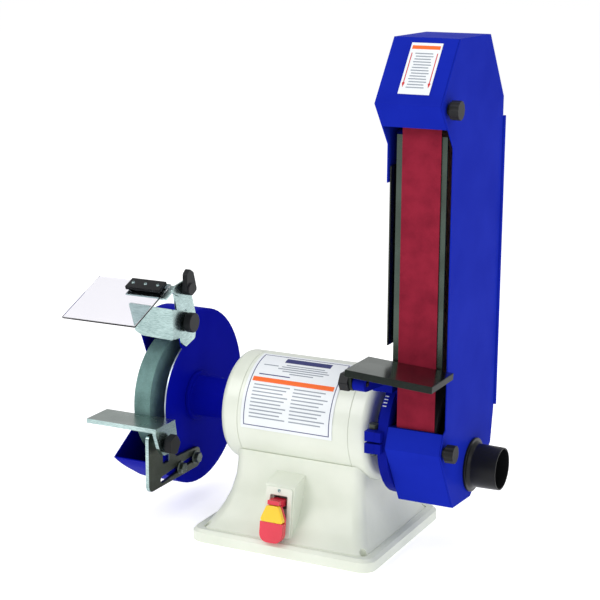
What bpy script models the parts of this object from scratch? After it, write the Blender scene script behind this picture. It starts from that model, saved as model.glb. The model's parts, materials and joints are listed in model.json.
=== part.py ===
"""Combination bench grinder: a grinding wheel on the left, a tilting belt-sander arm on the right.

Metres, +Z up. The origin is the middle of the base's underside, +X runs along the spindle
towards the belt arm, and -Y is the side that the operator stands at.
"""

from math import cos, pi, radians, sin

import bmesh
import bpy
from mathutils import Matrix, Vector

# Driving sizes: frame and motor
AXIS_Z = 0.164
BASE_LENGTH = 0.266
BASE_DEPTH = 0.238
FLANGE_HEIGHT = 0.018
BASE_WALL = 0.006
PLATE_THICKNESS = 0.0025
MOUNT_HOLE = 0.010
MOUNT_INSET = 0.019
PEDESTAL_DEPTH = 0.124
MOTOR_RADIUS = 0.0745
MOTOR_LENGTH = 0.215
MOTOR_X = -0.0025
MOTOR_END_X = MOTOR_X + MOTOR_LENGTH / 2
SHELL_WALL = 0.004
BELL_DEPTH = 0.027
PEDESTAL_LENGTH = MOTOR_LENGTH - BELL_DEPTH

# Driving sizes: grinding side
WHEEL_RADIUS = 0.0889
WHEEL_WIDTH = 0.0254
FLANGE_THICKNESS = 0.004
NUT_THICKNESS = 0.006
GUARD_CLEARANCE = 0.0336
GUARD_RADIUS = WHEEL_RADIUS + GUARD_CLEARANCE
GUARD_LIP_RADIUS = GUARD_RADIUS + 0.0165
GUARD_CUT_RADIUS = WHEEL_RADIUS - 0.0029
COVER_CUT_RADIUS = WHEEL_RADIUS * 0.65
GUARD_SHEET = 0.002
GUARD_OFFSET = (0.005, -0.002)
GUARD_INNER_X = -0.186
GUARD_TOP_ANGLE = 62.0
GUARD_LOW_ANGLE = -27.0
REST_LENGTH = 0.108
REST_DEPTH = 0.050
REST_THICKNESS = 0.006
REST_TOP_Z = 0.156
REST_GAP = 0.0031
REST_EDGE_Y = -WHEEL_RADIUS - REST_GAP
BRACKET_THICKNESS = 0.005
SHIELD_LENGTH = 0.121
SHIELD_DEPTH = 0.099
SHIELD_THICKNESS = 0.003
SHIELD_SLOPE = 22.4

# Driving sizes: belt arm
DRUM_RADIUS = 0.0762
IDLER_RADIUS = 0.03175
BELT_WIDTH = 0.0508
BELT_THICKNESS = 0.0012
BELT_LOOP = 1.219
BELT_X = MOTOR_END_X + 0.0678
HOOD_LEFT = MOTOR_END_X + 0.022
COVER_LEFT = MOTOR_END_X + 0.033
HOUSING_RIGHT = MOTOR_END_X + 0.108
SHEET = 0.0016
HOUSING_REAR = 0.098
HOOD_BOTTOM_Z = 0.496
COVER_TOP_Z = 0.188
PORT_Y = 0.022
PORT_Z = 0.1185
PORT_OUTER = 0.057
PORT_WALL = 0.0025
TABLE_TOP_Z = 0.272
TABLE_LENGTH = 0.115
TABLE_DEPTH = 0.071
TABLE_THICKNESS = 0.009
BELT_GAP = 0.0025

# Shafts and fits
SHAFT_RADIUS = 0.0072
STUB_RADIUS = 0.0063
SEAT_RADIUS = 0.0075
ROTOR_SEAT_RADIUS = 0.010
BEARING_OUTER = 0.0175
BEARING_WIDTH = 0.011
AIR_GAP = 0.0006
GAP = 0.0003

ROUND = 36
SMALL_ROUND = 20
TINY = 0.00001

PARTS = "bench_grinder"
TO_X = Matrix(((0, 0, 1, 0), (1, 0, 0, 0), (0, 1, 0, 0), (0, 0, 0, 1)))
TO_Y = Matrix(((1, 0, 0, 0), (0, 0, -1, 0), (0, 1, 0, 0), (0, 0, 0, 1)))
TO_Z = Matrix.Identity(4)

COLOURS = {
    "cream": ((0.74, 0.79, 0.66), 0.38, 0.0),
    "blue": ((0.012, 0.030, 0.38), 0.32, 0.0),
    "dark_blue": ((0.006, 0.010, 0.14), 0.40, 0.0),
    "steel": ((0.42, 0.43, 0.42), 0.28, 1.0),
    "dark_steel": ((0.045, 0.050, 0.045), 0.35, 1.0),
    "zinc": ((0.60, 0.66, 0.64), 0.25, 1.0),
    "stone": ((0.16, 0.27, 0.25), 0.95, 0.0),
    "belt": ((0.26, 0.018, 0.035), 0.90, 0.0),
    "black": ((0.010, 0.010, 0.012), 0.45, 0.0),
    "clear": ((0.85, 0.88, 0.90), 0.05, 0.0),
    "grey": ((0.45, 0.50, 0.44), 0.45, 0.0),
    "red": ((0.60, 0.02, 0.08), 0.30, 0.0),
    "yellow": ((0.95, 0.62, 0.02), 0.35, 0.0),
    "label": ((0.80, 0.83, 0.84), 0.40, 0.0),
}


# ---------------------------------------------------------------- scene and helpers

def clear_scene():
    for old in list(bpy.data.objects):
        bpy.data.objects.remove(old, do_unlink=True)


def collection(name):
    found = bpy.data.collections.get(name)
    if found is None:
        found = bpy.data.collections.new(name)
        bpy.context.scene.collection.children.link(found)
    return found


def material(name):
    found = bpy.data.materials.get(name)
    if found is None:
        colour, roughness, metallic = COLOURS[name]
        found = bpy.data.materials.new(name)
        found.use_nodes = True
        shader = found.node_tree.nodes["Principled BSDF"]
        shader.inputs["Base Color"].default_value = (*colour, 1.0)
        shader.inputs["Roughness"].default_value = roughness
        shader.inputs["Metallic"].default_value = metallic
    return found


def smooth(mesh):
    mesh.shade_smooth()
    mesh.set_sharp_from_angle(angle=radians(35))


def add_object(name, mesh, colour=None):
    """Links a mesh as a part, or as a cutter when it has no colour."""
    made = bpy.data.objects.new(name, mesh)
    if colour:
        collection(PARTS).objects.link(made)
        mesh.materials.clear()
        mesh.materials.append(material(colour))
        smooth(mesh)
    else:
        helpers = collection("cutters")
        helpers.hide_render = True
        helpers.objects.link(made)
        made.hide_render = True
        made.display_type = "WIRE"
    return made


def rename(made, name, colour):
    """Turns a helper into the part of this name."""
    mesh = made.data
    bpy.data.objects.remove(made)
    return add_object(name, mesh, colour)


def baked(made):
    """Replaces an object's mesh by what its modifiers make of it, with its place in the mesh."""
    bpy.context.view_layer.update()
    graph = bpy.context.evaluated_depsgraph_get()
    mesh = bpy.data.meshes.new_from_object(made.evaluated_get(graph))
    mesh.transform(made.matrix_world)
    work = bmesh.new()
    work.from_mesh(mesh)
    bmesh.ops.remove_doubles(work, verts=work.verts, dist=TINY)
    work.to_mesh(mesh)
    work.free()
    collections = list(made.users_collection)
    name = made.name
    colours = [slot.material for slot in made.material_slots]
    hidden = made.hide_render
    bpy.data.objects.remove(made)
    fresh = bpy.data.objects.new(name, mesh)
    for holder in collections:
        holder.objects.link(fresh)
    fresh.hide_render = hidden
    if hidden:
        fresh.display_type = "WIRE"
    if colours and not mesh.materials:
        mesh.materials.append(colours[0])
    return fresh


def set_origin(made, point):
    """Moves an object's origin to a point on its joint's axis, and leaves its shape where it is."""
    offset = Vector(point) - made.location
    made.data.transform(Matrix.Translation(-offset))
    made.location = Vector(point)
    return made


def boolean(made, other, operation):
    step = made.modifiers.new(operation.title(), "BOOLEAN")
    step.operation = operation
    step.solver = "EXACT"
    step.object = other


def turned_about(made, axis, point, angle):
    """Turns a helper about a line along X or Y through a point, by an angle in degrees."""
    turn = Matrix.Rotation(radians(angle), 4, axis)
    made.data.transform(Matrix.Translation(point) @ turn @ Matrix.Translation(-Vector(point)))
    return made


def shifted(points, origin):
    """Points given from an origin in the (y, z) plane."""
    return [(origin[0] + first, origin[1] + second) for first, second in points]


def cut(made, *others):
    for other in others:
        boolean(made, other, "DIFFERENCE")
    return made


def joined(name, colour, *pieces):
    """One solid from several that overlap."""
    first = pieces[0]
    for other in pieces[1:]:
        boolean(first, other, "UNION")
    solid = baked(first)
    return rename(solid, name, colour)


def bevel(made, width, segments=2, angle=40):
    step = made.modifiers.new("Bevel", "BEVEL")
    step.width = width
    step.segments = segments
    step.limit_method = "ANGLE"
    step.angle_limit = radians(angle)
    step.harden_normals = False
    return made


def box(name, low, high, colour=None):
    mesh = bpy.data.meshes.new(name)
    work = bmesh.new()
    size = Vector(high) - Vector(low)
    middle = (Vector(high) + Vector(low)) / 2
    place = Matrix.Translation(middle) @ Matrix.Diagonal((*size, 1.0))
    bmesh.ops.create_cube(work, size=1.0, matrix=place)
    work.to_mesh(mesh)
    work.free()
    return add_object(name, mesh, colour)


def rod(name, axis, centre, radius, low, high, colour=None, sides=SMALL_ROUND, end_radius=None):
    """A cylinder or cone along X, Y or Z between two values of that coordinate."""
    turn = {"X": Matrix.Rotation(pi / 2, 4, "Y"), "Y": Matrix.Rotation(-pi / 2, 4, "X")}
    middle = Vector(centre)
    middle["XYZ".index(axis)] = (low + high) / 2
    mesh = bpy.data.meshes.new(name)
    work = bmesh.new()
    bmesh.ops.create_cone(
        work,
        cap_ends=True,
        segments=sides,
        radius1=radius,
        radius2=radius if end_radius is None else end_radius,
        depth=high - low,
        matrix=Matrix.Translation(middle) @ turn.get(axis, Matrix.Identity(4)),
    )
    work.to_mesh(mesh)
    work.free()
    return add_object(name, mesh, colour)


def area(points):
    total = 0.0
    for first, second in zip(points, points[1:] + points[:1]):
        total += first[0] * second[1] - second[0] * first[1]
    return total / 2


def turned(name, profile, colour=None, centre=(0.0, 0.0, 0.0), sides=ROUND, closed=False, to=TO_X):
    """A profile of (radius, distance along the axis) turned about an axis through centre."""
    points = list(profile)
    if area(points) > 0:
        points.reverse()
    mesh = bpy.data.meshes.new(name)
    work = bmesh.new()
    corners = [work.verts.new((radius, 0.0, along)) for radius, along in points]
    for first, second in zip(corners, corners[1:]):
        work.edges.new((first, second))
    if closed:
        work.edges.new((corners[-1], corners[0]))
    work.to_mesh(mesh)
    work.free()
    made = add_object(name, mesh, colour)
    made.matrix_world = Matrix.Translation(centre) @ to
    screw = made.modifiers.new("Screw", "SCREW")
    screw.axis = "Z"
    screw.steps = sides
    screw.render_steps = sides
    screw.use_merge_vertices = True
    screw.merge_threshold = TINY
    fresh = baked(made)
    if colour:
        smooth(fresh.data)
    return fresh


def ring(name, inner, outer, low, high, colour=None, centre=(0.0, 0.0, 0.0), sides=ROUND, to=TO_X):
    profile = [(inner, high), (outer, high), (outer, low), (inner, low)]
    return turned(name, profile, colour, centre, sides, closed=True, to=to)


def outline(name, loops, low, high, colour=None, to=TO_X):
    """A flat shape of one or more closed loops, given thickness along its axis."""
    curve = bpy.data.curves.new(name, "CURVE")
    curve.dimensions = "2D"
    curve.fill_mode = "BOTH"
    curve.extrude = (high - low) / 2
    for loop in loops:
        line = curve.splines.new("POLY")
        line.points.add(len(loop) - 1)
        for point, (first, second) in zip(line.points, loop):
            point.co = (first, second, 0.0, 1.0)
        line.use_cyclic_u = True
    flat = bpy.data.objects.new(name, curve)
    bpy.context.scene.collection.objects.link(flat)
    shift = (low + high) / 2 if to != TO_Y else -(low + high) / 2
    flat.matrix_world = to @ Matrix.Translation((0.0, 0.0, shift))
    solid = baked(flat)
    mesh = solid.data
    bpy.data.objects.remove(solid)
    bpy.data.curves.remove(curve)
    return add_object(name, mesh, colour)


def polar(centre, radius, angle):
    """The point at this distance and angle, in degrees, from a centre."""
    return (centre[0] + radius * cos(radians(angle)), centre[1] + radius * sin(radians(angle)))


def arc(centre, radius, start, end, count):
    """Points on an arc, with angles in degrees."""
    return [polar(centre, radius, start + (end - start) * step / count) for step in range(count + 1)]


def rounded(points, radius, steps=4):
    """A polygon with each corner turned into an arc."""
    found = []
    count = len(points)
    for index, corner in enumerate(points):
        here = Vector(corner)
        before = Vector(points[index - 1]) - here
        after = Vector(points[(index + 1) % count]) - here
        half = before.angle(after) / 2
        reach = min(radius, 0.45 * min(before.length, after.length) * abs(sin(half) / cos(half)))
        back = reach * cos(half) / sin(half)
        middle = here + (before.normalized() + after.normalized()).normalized() * (reach / sin(half))
        start = here + before.normalized() * back - middle
        end = here + after.normalized() * back - middle
        turn = start.angle_signed(end)
        for step in range(steps + 1):
            angle = -turn * step / steps
            spot = middle + Matrix.Rotation(angle, 2) @ start
            found.append((spot.x, spot.y))
    return found


def slot(first, second, radius, steps=5):
    """The outline of a round-ended slot between two points."""
    start = Vector(first)
    end = Vector(second)
    angle = -(Vector((1.0, 0.0)).angle_signed(end - start)) * 180 / pi
    return arc(end, radius, angle - 90, angle + 90, steps) + arc(start, radius, angle + 90, angle + 270, steps)


def inset(points, distance):
    """A polygon moved inwards by a distance."""
    sign = 1.0 if area(points) > 0 else -1.0
    found = []
    count = len(points)
    for index, corner in enumerate(points):
        here = Vector(corner)
        before = (here - Vector(points[index - 1])).normalized()
        after = (Vector(points[(index + 1) % count]) - here).normalized()
        normal = Vector((-before.y - after.y, before.x + after.x)) * sign
        reach = distance / max(0.3, (1 + before.dot(after)) / 2)
        moved = here + normal / 2 * reach
        found.append((moved.x, moved.y))
    return found


def star(centre, outer, inner, lobes, steps=3):
    """A lobed knob outline."""
    found = []
    for index in range(lobes * steps):
        angle = 2 * pi * index / (lobes * steps)
        radius = (outer + inner) / 2 + (outer - inner) / 2 * cos(angle * lobes)
        found.append((centre[0] + radius * cos(angle), centre[1] + radius * sin(angle)))
    return found


def hexagon(centre, across):
    radius = across / 2 / cos(pi / 6)
    return arc(centre, radius, 0, 300, 5)


# ---------------------------------------------------------------- base and motor

def rectangle_loop(work, height, half_length, half_depth, corner, steps=4):
    points = [
        (half_length, half_depth),
        (-half_length, half_depth),
        (-half_length, -half_depth),
        (half_length, -half_depth),
    ]
    return [work.verts.new((x, y, height)) for x, y in rounded(points, corner, steps)]


def loft(name, sections, colour=None):
    """A solid through rounded rectangles: (height, half length, half depth, corner radius)."""
    mesh = bpy.data.meshes.new(name)
    work = bmesh.new()
    loops = [rectangle_loop(work, *section) for section in sections]
    for lower, upper in zip(loops, loops[1:]):
        count = len(lower)
        for index in range(count):
            after = (index + 1) % count
            work.faces.new((lower[index], lower[after], upper[after], upper[index]))
    work.faces.new(list(reversed(loops[0])))
    work.faces.new(loops[-1])
    bmesh.ops.recalc_face_normals(work, faces=work.faces)
    work.to_mesh(mesh)
    work.free()
    return add_object(name, mesh, colour)


FLARE_LOW_Z = FLANGE_HEIGHT + 0.001
FLARE_HIGH_Z = AXIS_Z - MOTOR_RADIUS * 0.60
FLARE_POWER = 2.9


def flare_between(wide, narrow, height):
    """A half size of the pedestal at a height, between its size at the flange and at the motor."""
    share = (height - FLARE_LOW_Z) / (FLARE_HIGH_Z - FLARE_LOW_Z)
    return narrow + (wide - narrow) * (1 - share) ** FLARE_POWER


def pedestal_length(height):
    return flare_between(BASE_LENGTH / 2 - 0.014, PEDESTAL_LENGTH / 2, height)


def pedestal_depth(height):
    return flare_between(BASE_DEPTH / 2 - 0.010, PEDESTAL_DEPTH / 2, height)


def pedestal_sections(shrink=0.0):
    """Sections of the flare from the flange up to the motor, closer where it curves more."""
    found = []
    for share in (0.0, 0.06, 0.14, 0.26, 0.42, 0.62, 0.82, 1.0):
        height = FLARE_LOW_Z + share * (FLARE_HIGH_Z - FLARE_LOW_Z)
        found.append((height, pedestal_length(height) - shrink, pedestal_depth(height) - shrink, 0.016))
    return found


SWITCH_X = -0.008
SWITCH_WIDTH = 0.038
SWITCH_HEIGHT = 0.066
SWITCH_LOW_Z = FLANGE_HEIGHT + 0.004
SWITCH_HIGH_Z = SWITCH_LOW_Z + SWITCH_HEIGHT
SWITCH_MIDDLE = (SWITCH_LOW_Z + SWITCH_HIGH_Z) / 2
SWITCH_FACE_Y = -PEDESTAL_DEPTH / 2 - 0.037
SWITCH_LEAN = 8.0
SWITCH_CASE = 0.030
CAPACITOR_RADIUS = 0.018


def leaned(made):
    """Leans a piece of the switch back with its panel, about the middle of the panel's face."""
    return turned_about(made, "X", (SWITCH_X, SWITCH_FACE_Y, SWITCH_MIDDLE), -SWITCH_LEAN)


def leaned_point(y, z):
    """Where a point of the upright switch lies once the panel leans back."""
    turn = Matrix.Rotation(radians(-SWITCH_LEAN), 2)
    middle = Vector((SWITCH_FACE_Y, SWITCH_MIDDLE))
    spot = middle + turn @ (Vector((y, z)) - middle)
    return (spot.x, spot.y)


def switch_boss():
    """The panel that stands off the flare, its top sloping back into the pedestal."""
    wall = -PEDESTAL_DEPTH / 2 + 0.008
    side = [
        leaned_point(SWITCH_FACE_Y, SWITCH_HIGH_Z + 0.002),
        (wall - 0.004, SWITCH_HIGH_Z + 0.011),
        (wall, FLANGE_HEIGHT - 0.004),
        leaned_point(SWITCH_FACE_Y, FLANGE_HEIGHT - 0.004),
    ]
    half = SWITCH_WIDTH / 2 + 0.002
    return outline("switch_boss", [rounded(side, 0.004, 3)], SWITCH_X - half, SWITCH_X + half)


def make_base():
    flange = loft(
        "flange",
        [
            (0.0, BASE_LENGTH / 2 - 0.0015, BASE_DEPTH / 2 - 0.0015, 0.018),
            (0.0015, BASE_LENGTH / 2, BASE_DEPTH / 2, 0.018),
            (FLANGE_HEIGHT - 0.004, BASE_LENGTH / 2, BASE_DEPTH / 2, 0.018),
            (FLANGE_HEIGHT, BASE_LENGTH / 2 - 0.004, BASE_DEPTH / 2 - 0.004, 0.015),
        ],
    )
    flare = loft("flare", [(0.004, *pedestal_sections()[0][1:])] + pedestal_sections())
    cavity_top = AXIS_Z - MOTOR_RADIUS - 2 * BASE_WALL
    hollow = [(PLATE_THICKNESS, *pedestal_sections(0.024)[0][1:])]
    for section in pedestal_sections(BASE_WALL + 0.002):
        if FLANGE_HEIGHT + 0.012 < section[0] < cavity_top - 0.012:
            hollow.append(section)
    hollow.append((cavity_top, *pedestal_sections(BASE_WALL + 0.004)[-1][1:]))
    cavity = loft("base_cavity", hollow)
    recess = plate_outline(-GAP)
    recess = outline("plate_recess", [recess], -0.002, PLATE_THICKNESS + GAP, to=TO_Z)
    saddle = rod(
        "motor_saddle", "X", (0, 0, AXIS_Z), MOTOR_RADIUS + GAP,
        -MOTOR_LENGTH, MOTOR_LENGTH, sides=64,
    )
    solid = joined("base_casting", "cream", flange, flare, switch_boss())
    cutters = [cavity, recess, saddle, switch_pocket(), switch_niche(), inlet_hole()]
    for x, y in mount_places():
        cutters.append(rod("mount_hole", "Z", (x, y, 0), MOUNT_HOLE / 2, -0.002, 0.04, sides=16))
    return cut(solid, *cutters)


def mount_places():
    across = BASE_LENGTH / 2 - MOUNT_INSET
    along = BASE_DEPTH / 2 - MOUNT_INSET
    return [(x, y) for x in (-across, across) for y in (-along, along)]


def plate_outline(shrink):
    """The steel plate that closes the base, on a ledge inside the mount holes."""
    half_x = BASE_LENGTH / 2 - MOUNT_INSET - MOUNT_HOLE - shrink
    half_y = BASE_DEPTH / 2 - MOUNT_INSET - MOUNT_HOLE + 0.004 - shrink
    corners = [(half_x, half_y), (-half_x, half_y), (-half_x, -half_y), (half_x, -half_y)]
    return rounded(corners, 0.012)


def switch_pocket():
    """The hole that the switch's case passes through."""
    half = SWITCH_CASE / 2
    low = (SWITCH_X - half, SWITCH_FACE_Y - 0.001, SWITCH_MIDDLE - 0.024)
    high = (SWITCH_X + half, -PEDESTAL_DEPTH / 2 + 0.014, SWITCH_MIDDLE + 0.024)
    return leaned(box("switch_pocket", low, high))


def switch_niche():
    """Clears the flare from in front of the panel."""
    half = SWITCH_WIDTH / 2 + GAP
    low = (SWITCH_X - half, SWITCH_FACE_Y - 0.060, SWITCH_LOW_Z - GAP)
    high = (SWITCH_X + half, SWITCH_FACE_Y, SWITCH_HIGH_Z + GAP)
    return leaned(box("switch_niche", low, high))


GLAND_X = -0.055
GLAND_Z = 0.075
GLAND_RADIUS = 0.008
GLAND_FLANGE = 0.0125


def inlet_hole():
    return rod(
        "inlet_hole", "Y", (GLAND_X, 0, GLAND_Z), GLAND_RADIUS + GAP,
        PEDESTAL_DEPTH / 2 - 0.020, BASE_DEPTH / 2 + 0.01, sides=16,
    )


def make_base_fittings():
    outline("base_plate", [plate_outline(GAP)], 0.0, PLATE_THICKNESS, "steel", to=TO_Z)
    rod(
        "start_capacitor", "X", (0, 0.014, 0.048), CAPACITOR_RADIUS, 0.004, 0.072,
        "black", sides=24,
    )
    seat = pedestal_depth(GLAND_Z - GLAND_FLANGE) + GAP
    inside = PEDESTAL_DEPTH / 2 - 2 * BASE_WALL
    bore = GLAND_RADIUS * 0.52
    profile = [
        (bore, inside),
        (GLAND_RADIUS, inside),
        (GLAND_RADIUS, seat),
        (GLAND_FLANGE, seat),
        (GLAND_FLANGE, seat + 0.006),
        (GLAND_RADIUS + 0.0015, seat + 0.012),
        (GLAND_RADIUS - 0.001, seat + 0.020),
        (bore, seat + 0.020),
    ]
    points = [(radius, -along) for radius, along in profile]
    turned("cord_inlet", points, "black", (GLAND_X, 0, GLAND_Z), 20, True, TO_Y)


def make_motor():
    half = MOTOR_LENGTH / 2 - BELL_DEPTH
    inner = MOTOR_RADIUS - SHELL_WALL
    centre = (MOTOR_X, 0, AXIS_Z)
    ring("motor_shell", inner, MOTOR_RADIUS, -half, half, "cream", centre, 48)
    core = half * 0.52
    ring("stator", MOTOR_RADIUS * 0.62, inner - GAP, -core, core, "dark_steel", centre, 32)
    rotor_radius = MOTOR_RADIUS * 0.62 - AIR_GAP
    bore = ROTOR_SEAT_RADIUS + GAP
    ring("rotor", bore, rotor_radius, -core, core, "steel", centre, 32)
    plate_arc = arc((0, AXIS_Z), MOTOR_RADIUS + GAP, 95, 187, 24)
    plate_arc += arc((0, AXIS_Z), MOTOR_RADIUS + GAP + 0.0007, 187, 95, 24)
    outline("rating_plate", [plate_arc], MOTOR_X - half + 0.006, MOTOR_X + half - 0.022, "label")


SPIGOT_RADIUS = 0.040
SPIGOT_END_X = MOTOR_END_X + 0.0195
HUB_RADIUS = 0.034
HUB_REGISTER = 0.006


def bell_profile(boss_radius, boss_end):
    """(radius, distance from the motor's middle) round one end bell's section."""
    rim = MOTOR_LENGTH / 2 - BELL_DEPTH + GAP
    face = MOTOR_LENGTH / 2
    inner = MOTOR_RADIUS - SHELL_WALL
    seat = face - 0.0065
    return (
        [(MOTOR_RADIUS, rim)]
        + [(r, a) for a, r in arc((face - 0.010, MOTOR_RADIUS - 0.010), 0.010, 90, 0, 3)]
        + [
            (boss_radius + 0.004, face),
            (boss_radius, face + 0.004),
            (boss_radius, boss_end),
            (SHAFT_RADIUS + 0.003, boss_end),
            (SHAFT_RADIUS + 0.003, seat),
            (BEARING_OUTER + GAP, seat),
            (BEARING_OUTER + GAP, seat - BEARING_WIDTH),
            (BEARING_OUTER + 0.008, seat - BEARING_WIDTH),
            (BEARING_OUTER + 0.011, face - 0.006),
            (inner - 0.006, face - 0.006),
            (inner, face - 0.013),
            (inner, rim),
        ]
    )


def make_bells():
    centre = (MOTOR_X, 0, AXIS_Z)
    left = [(r, -a) for r, a in bell_profile(HUB_RADIUS, MOTOR_LENGTH / 2 + HUB_REGISTER)]
    turned("end_bell_left", left, "cream", centre, ROUND, True)
    right = bell_profile(SPIGOT_RADIUS, SPIGOT_END_X - MOTOR_X)
    turned("end_bell_right", right, "cream", centre, ROUND, True)
    far = MOTOR_LENGTH / 2 - 0.0065 - GAP
    near = far - BEARING_WIDTH + 2 * GAP
    bore = SEAT_RADIUS + GAP
    ring("bearing_left", bore, BEARING_OUTER, -far, -near, "steel", centre, 24)
    ring("bearing_right", bore, BEARING_OUTER, near, far, "steel", centre, 24)


# ---------------------------------------------------------------- spindle and wheel

def wheel_stack():
    """X places along the left stub, from the shaft's shoulder outwards."""
    inner_flange = GUARD_INNER_X - 0.0185
    wheel = inner_flange - FLANGE_THICKNESS - GAP
    outer_flange = wheel - WHEEL_WIDTH - GAP
    nut = outer_flange - FLANGE_THICKNESS - GAP
    return inner_flange, wheel, outer_flange, nut, nut - NUT_THICKNESS


def drum_left():
    return BELT_X - BELT_WIDTH / 2


def make_spindle():
    centre = (0, 0, AXIS_Z)
    inner_flange, wheel, outer_flange, nut, nut_end = wheel_stack()
    seat_far = MOTOR_LENGTH / 2 - 0.0065
    seat_near = seat_far - BEARING_WIDTH
    shoulder = inner_flange + GAP
    drum = drum_left()
    right_end = drum + BELT_WIDTH + 0.008
    profile = [
        (0.0, nut_end - 0.0005),
        (STUB_RADIUS, nut_end - 0.0005),
        (STUB_RADIUS, shoulder),
        (SHAFT_RADIUS, shoulder),
        (SHAFT_RADIUS, MOTOR_X - seat_far),
        (SEAT_RADIUS, MOTOR_X - seat_far),
        (SEAT_RADIUS, MOTOR_X - seat_near),
        (ROTOR_SEAT_RADIUS, MOTOR_X - seat_near + 0.001),
        (ROTOR_SEAT_RADIUS, MOTOR_X + seat_near - 0.001),
        (SEAT_RADIUS, MOTOR_X + seat_near),
        (SEAT_RADIUS, MOTOR_X + seat_far),
        (SHAFT_RADIUS, MOTOR_X + seat_far),
        (SHAFT_RADIUS, drum - GAP),
        (STUB_RADIUS, drum - GAP),
        (STUB_RADIUS, right_end),
        (0.0, right_end),
    ]
    turned("spindle_shaft", profile, "steel", centre, 24)
    bore = STUB_RADIUS + GAP
    ring("wheel_flange_inner", bore, 0.032, inner_flange - FLANGE_THICKNESS, inner_flange, "steel", centre, 32)
    chamfer = 0.001
    stone = [
        (bore, wheel),
        (WHEEL_RADIUS - chamfer, wheel),
        (WHEEL_RADIUS, wheel - chamfer),
        (WHEEL_RADIUS, wheel - WHEEL_WIDTH + chamfer),
        (WHEEL_RADIUS - chamfer, wheel - WHEEL_WIDTH),
        (bore, wheel - WHEEL_WIDTH),
    ]
    turned("grinding_wheel", stone, "stone", centre, 56, True)
    ring("wheel_flange_outer", bore, 0.032, outer_flange - FLANGE_THICKNESS, outer_flange, "steel", centre, 32)
    hex_nut("wheel_nut", (0, AXIS_Z), 0.022, bore, nut_end, nut)
    make_drum(centre, drum, bore)
    hex_nut("drum_nut", (0, AXIS_Z), 0.022, bore, drum + BELT_WIDTH + GAP, right_end - 0.001)


def hex_nut(name, centre, across, bore, low, high):
    circle = arc(centre, bore, 0, 345, 23)
    return outline(name, [hexagon(centre, across), circle], low, high, "steel")


def make_drum(centre, left, bore):
    """A dished rubber-covered drive drum: hub, web and rim."""
    rim = 0.010
    hub = 0.020
    web = left + BELT_WIDTH / 2
    half_web = 0.004
    right = left + BELT_WIDTH
    profile = [
        (bore, left),
        (hub, left),
        (hub, web - half_web),
        (DRUM_RADIUS - rim, web - half_web),
        (DRUM_RADIUS - rim, left),
        (DRUM_RADIUS, left),
        (DRUM_RADIUS, right),
        (DRUM_RADIUS - rim, right),
        (DRUM_RADIUS - rim, web + half_web),
        (hub, web + half_web),
        (hub, right),
        (bore, right),
    ]
    turned("drive_drum", profile, "black", centre, ROUND, True)


# ---------------------------------------------------------------- wheel guard

def guard_angle(elevation):
    """Angle in the (y, z) plane of a direction so many degrees above the front horizontal."""
    return 180.0 - elevation


def guard_outline(shrink):
    """The guard's side shape: a big arc, open at the front between two radial edges."""
    centre = (GUARD_OFFSET[0], AXIS_Z + GUARD_OFFSET[1])
    start = guard_angle(GUARD_TOP_ANGLE)
    end = guard_angle(GUARD_LOW_ANGLE) - 360
    flare = arc(centre, GUARD_RADIUS - shrink, start, end + 28, 40)
    tail = []
    for step in range(1, 6):
        share = step / 5
        radius = GUARD_RADIUS + (GUARD_LIP_RADIUS - GUARD_RADIUS) * share ** 1.6 - shrink
        tail.append(polar(centre, radius, end + 28 - 28 * share))
    return flare + tail, start, end


def guard_side(cut_radius):
    outer, start, end = guard_outline(0.0)
    return outer + arc((0, AXIS_Z), cut_radius, end, start - 360, 16)


def guard_pocket():
    """What the pressed guard is hollowed by: open to the front and to the cover's side."""
    outer, start, end = guard_outline(GUARD_SHEET)
    centre = (0, AXIS_Z)
    wide = GUARD_LIP_RADIUS + 0.02
    return outer + [polar(centre, wide, angle) for angle in (end, end - 30, start - 360)]


def cover_x():
    return wheel_stack()[4] - 0.0022


def make_guard_hub():
    """The tube that holds the guard off the motor, over the spindle."""
    seat = MOTOR_X - MOTOR_LENGTH / 2 - HUB_REGISTER - GAP
    end = GUARD_INNER_X + GAP
    flange = 0.005
    bore = SHAFT_RADIUS + 0.010
    profile = [
        (bore, seat),
        (HUB_RADIUS, seat),
        (HUB_RADIUS - 0.006, seat - flange),
        (HUB_RADIUS - 0.006, end + flange),
        (HUB_RADIUS, end + flange),
        (HUB_RADIUS, end),
        (bore, end),
    ]
    turned("guard_hub", profile, "dark_blue", (0, 0, AXIS_Z), ROUND, True)


def make_guard():
    outer_x = cover_x()
    side = outline("guard_shell", [guard_side(GUARD_CUT_RADIUS)], outer_x + GAP, GUARD_INNER_X, "blue")
    pocket = outline(
        "guard_hollow", [guard_pocket()], outer_x - 0.01, GUARD_INNER_X - GUARD_SHEET
    )
    bore = rod("guard_bore", "X", (0, 0, AXIS_Z), 0.024, GUARD_INNER_X - 0.01, GUARD_INNER_X + 0.01)
    cut(side, pocket, bore)
    outline("guard_cover", [guard_side(COVER_CUT_RADIUS)], outer_x - GUARD_SHEET, outer_x, "blue")


# ---------------------------------------------------------------- tool rest

REST_PLANE = (GUARD_INNER_X + GAP, GUARD_INNER_X + GAP + BRACKET_THICKNESS)
REST_CORNER = (REST_EDGE_Y, REST_TOP_Z)
REST_PIVOT = (REST_EDGE_Y - 0.022, REST_TOP_Z - 0.0275)
REST_STANDOFF = 0.008
REST_BOLTS = ((REST_EDGE_Y + 0.0335, REST_TOP_Z - 0.0794), (REST_EDGE_Y + 0.074, REST_TOP_Z - 0.0763))
SLOT_RADIUS = 0.0045


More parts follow.
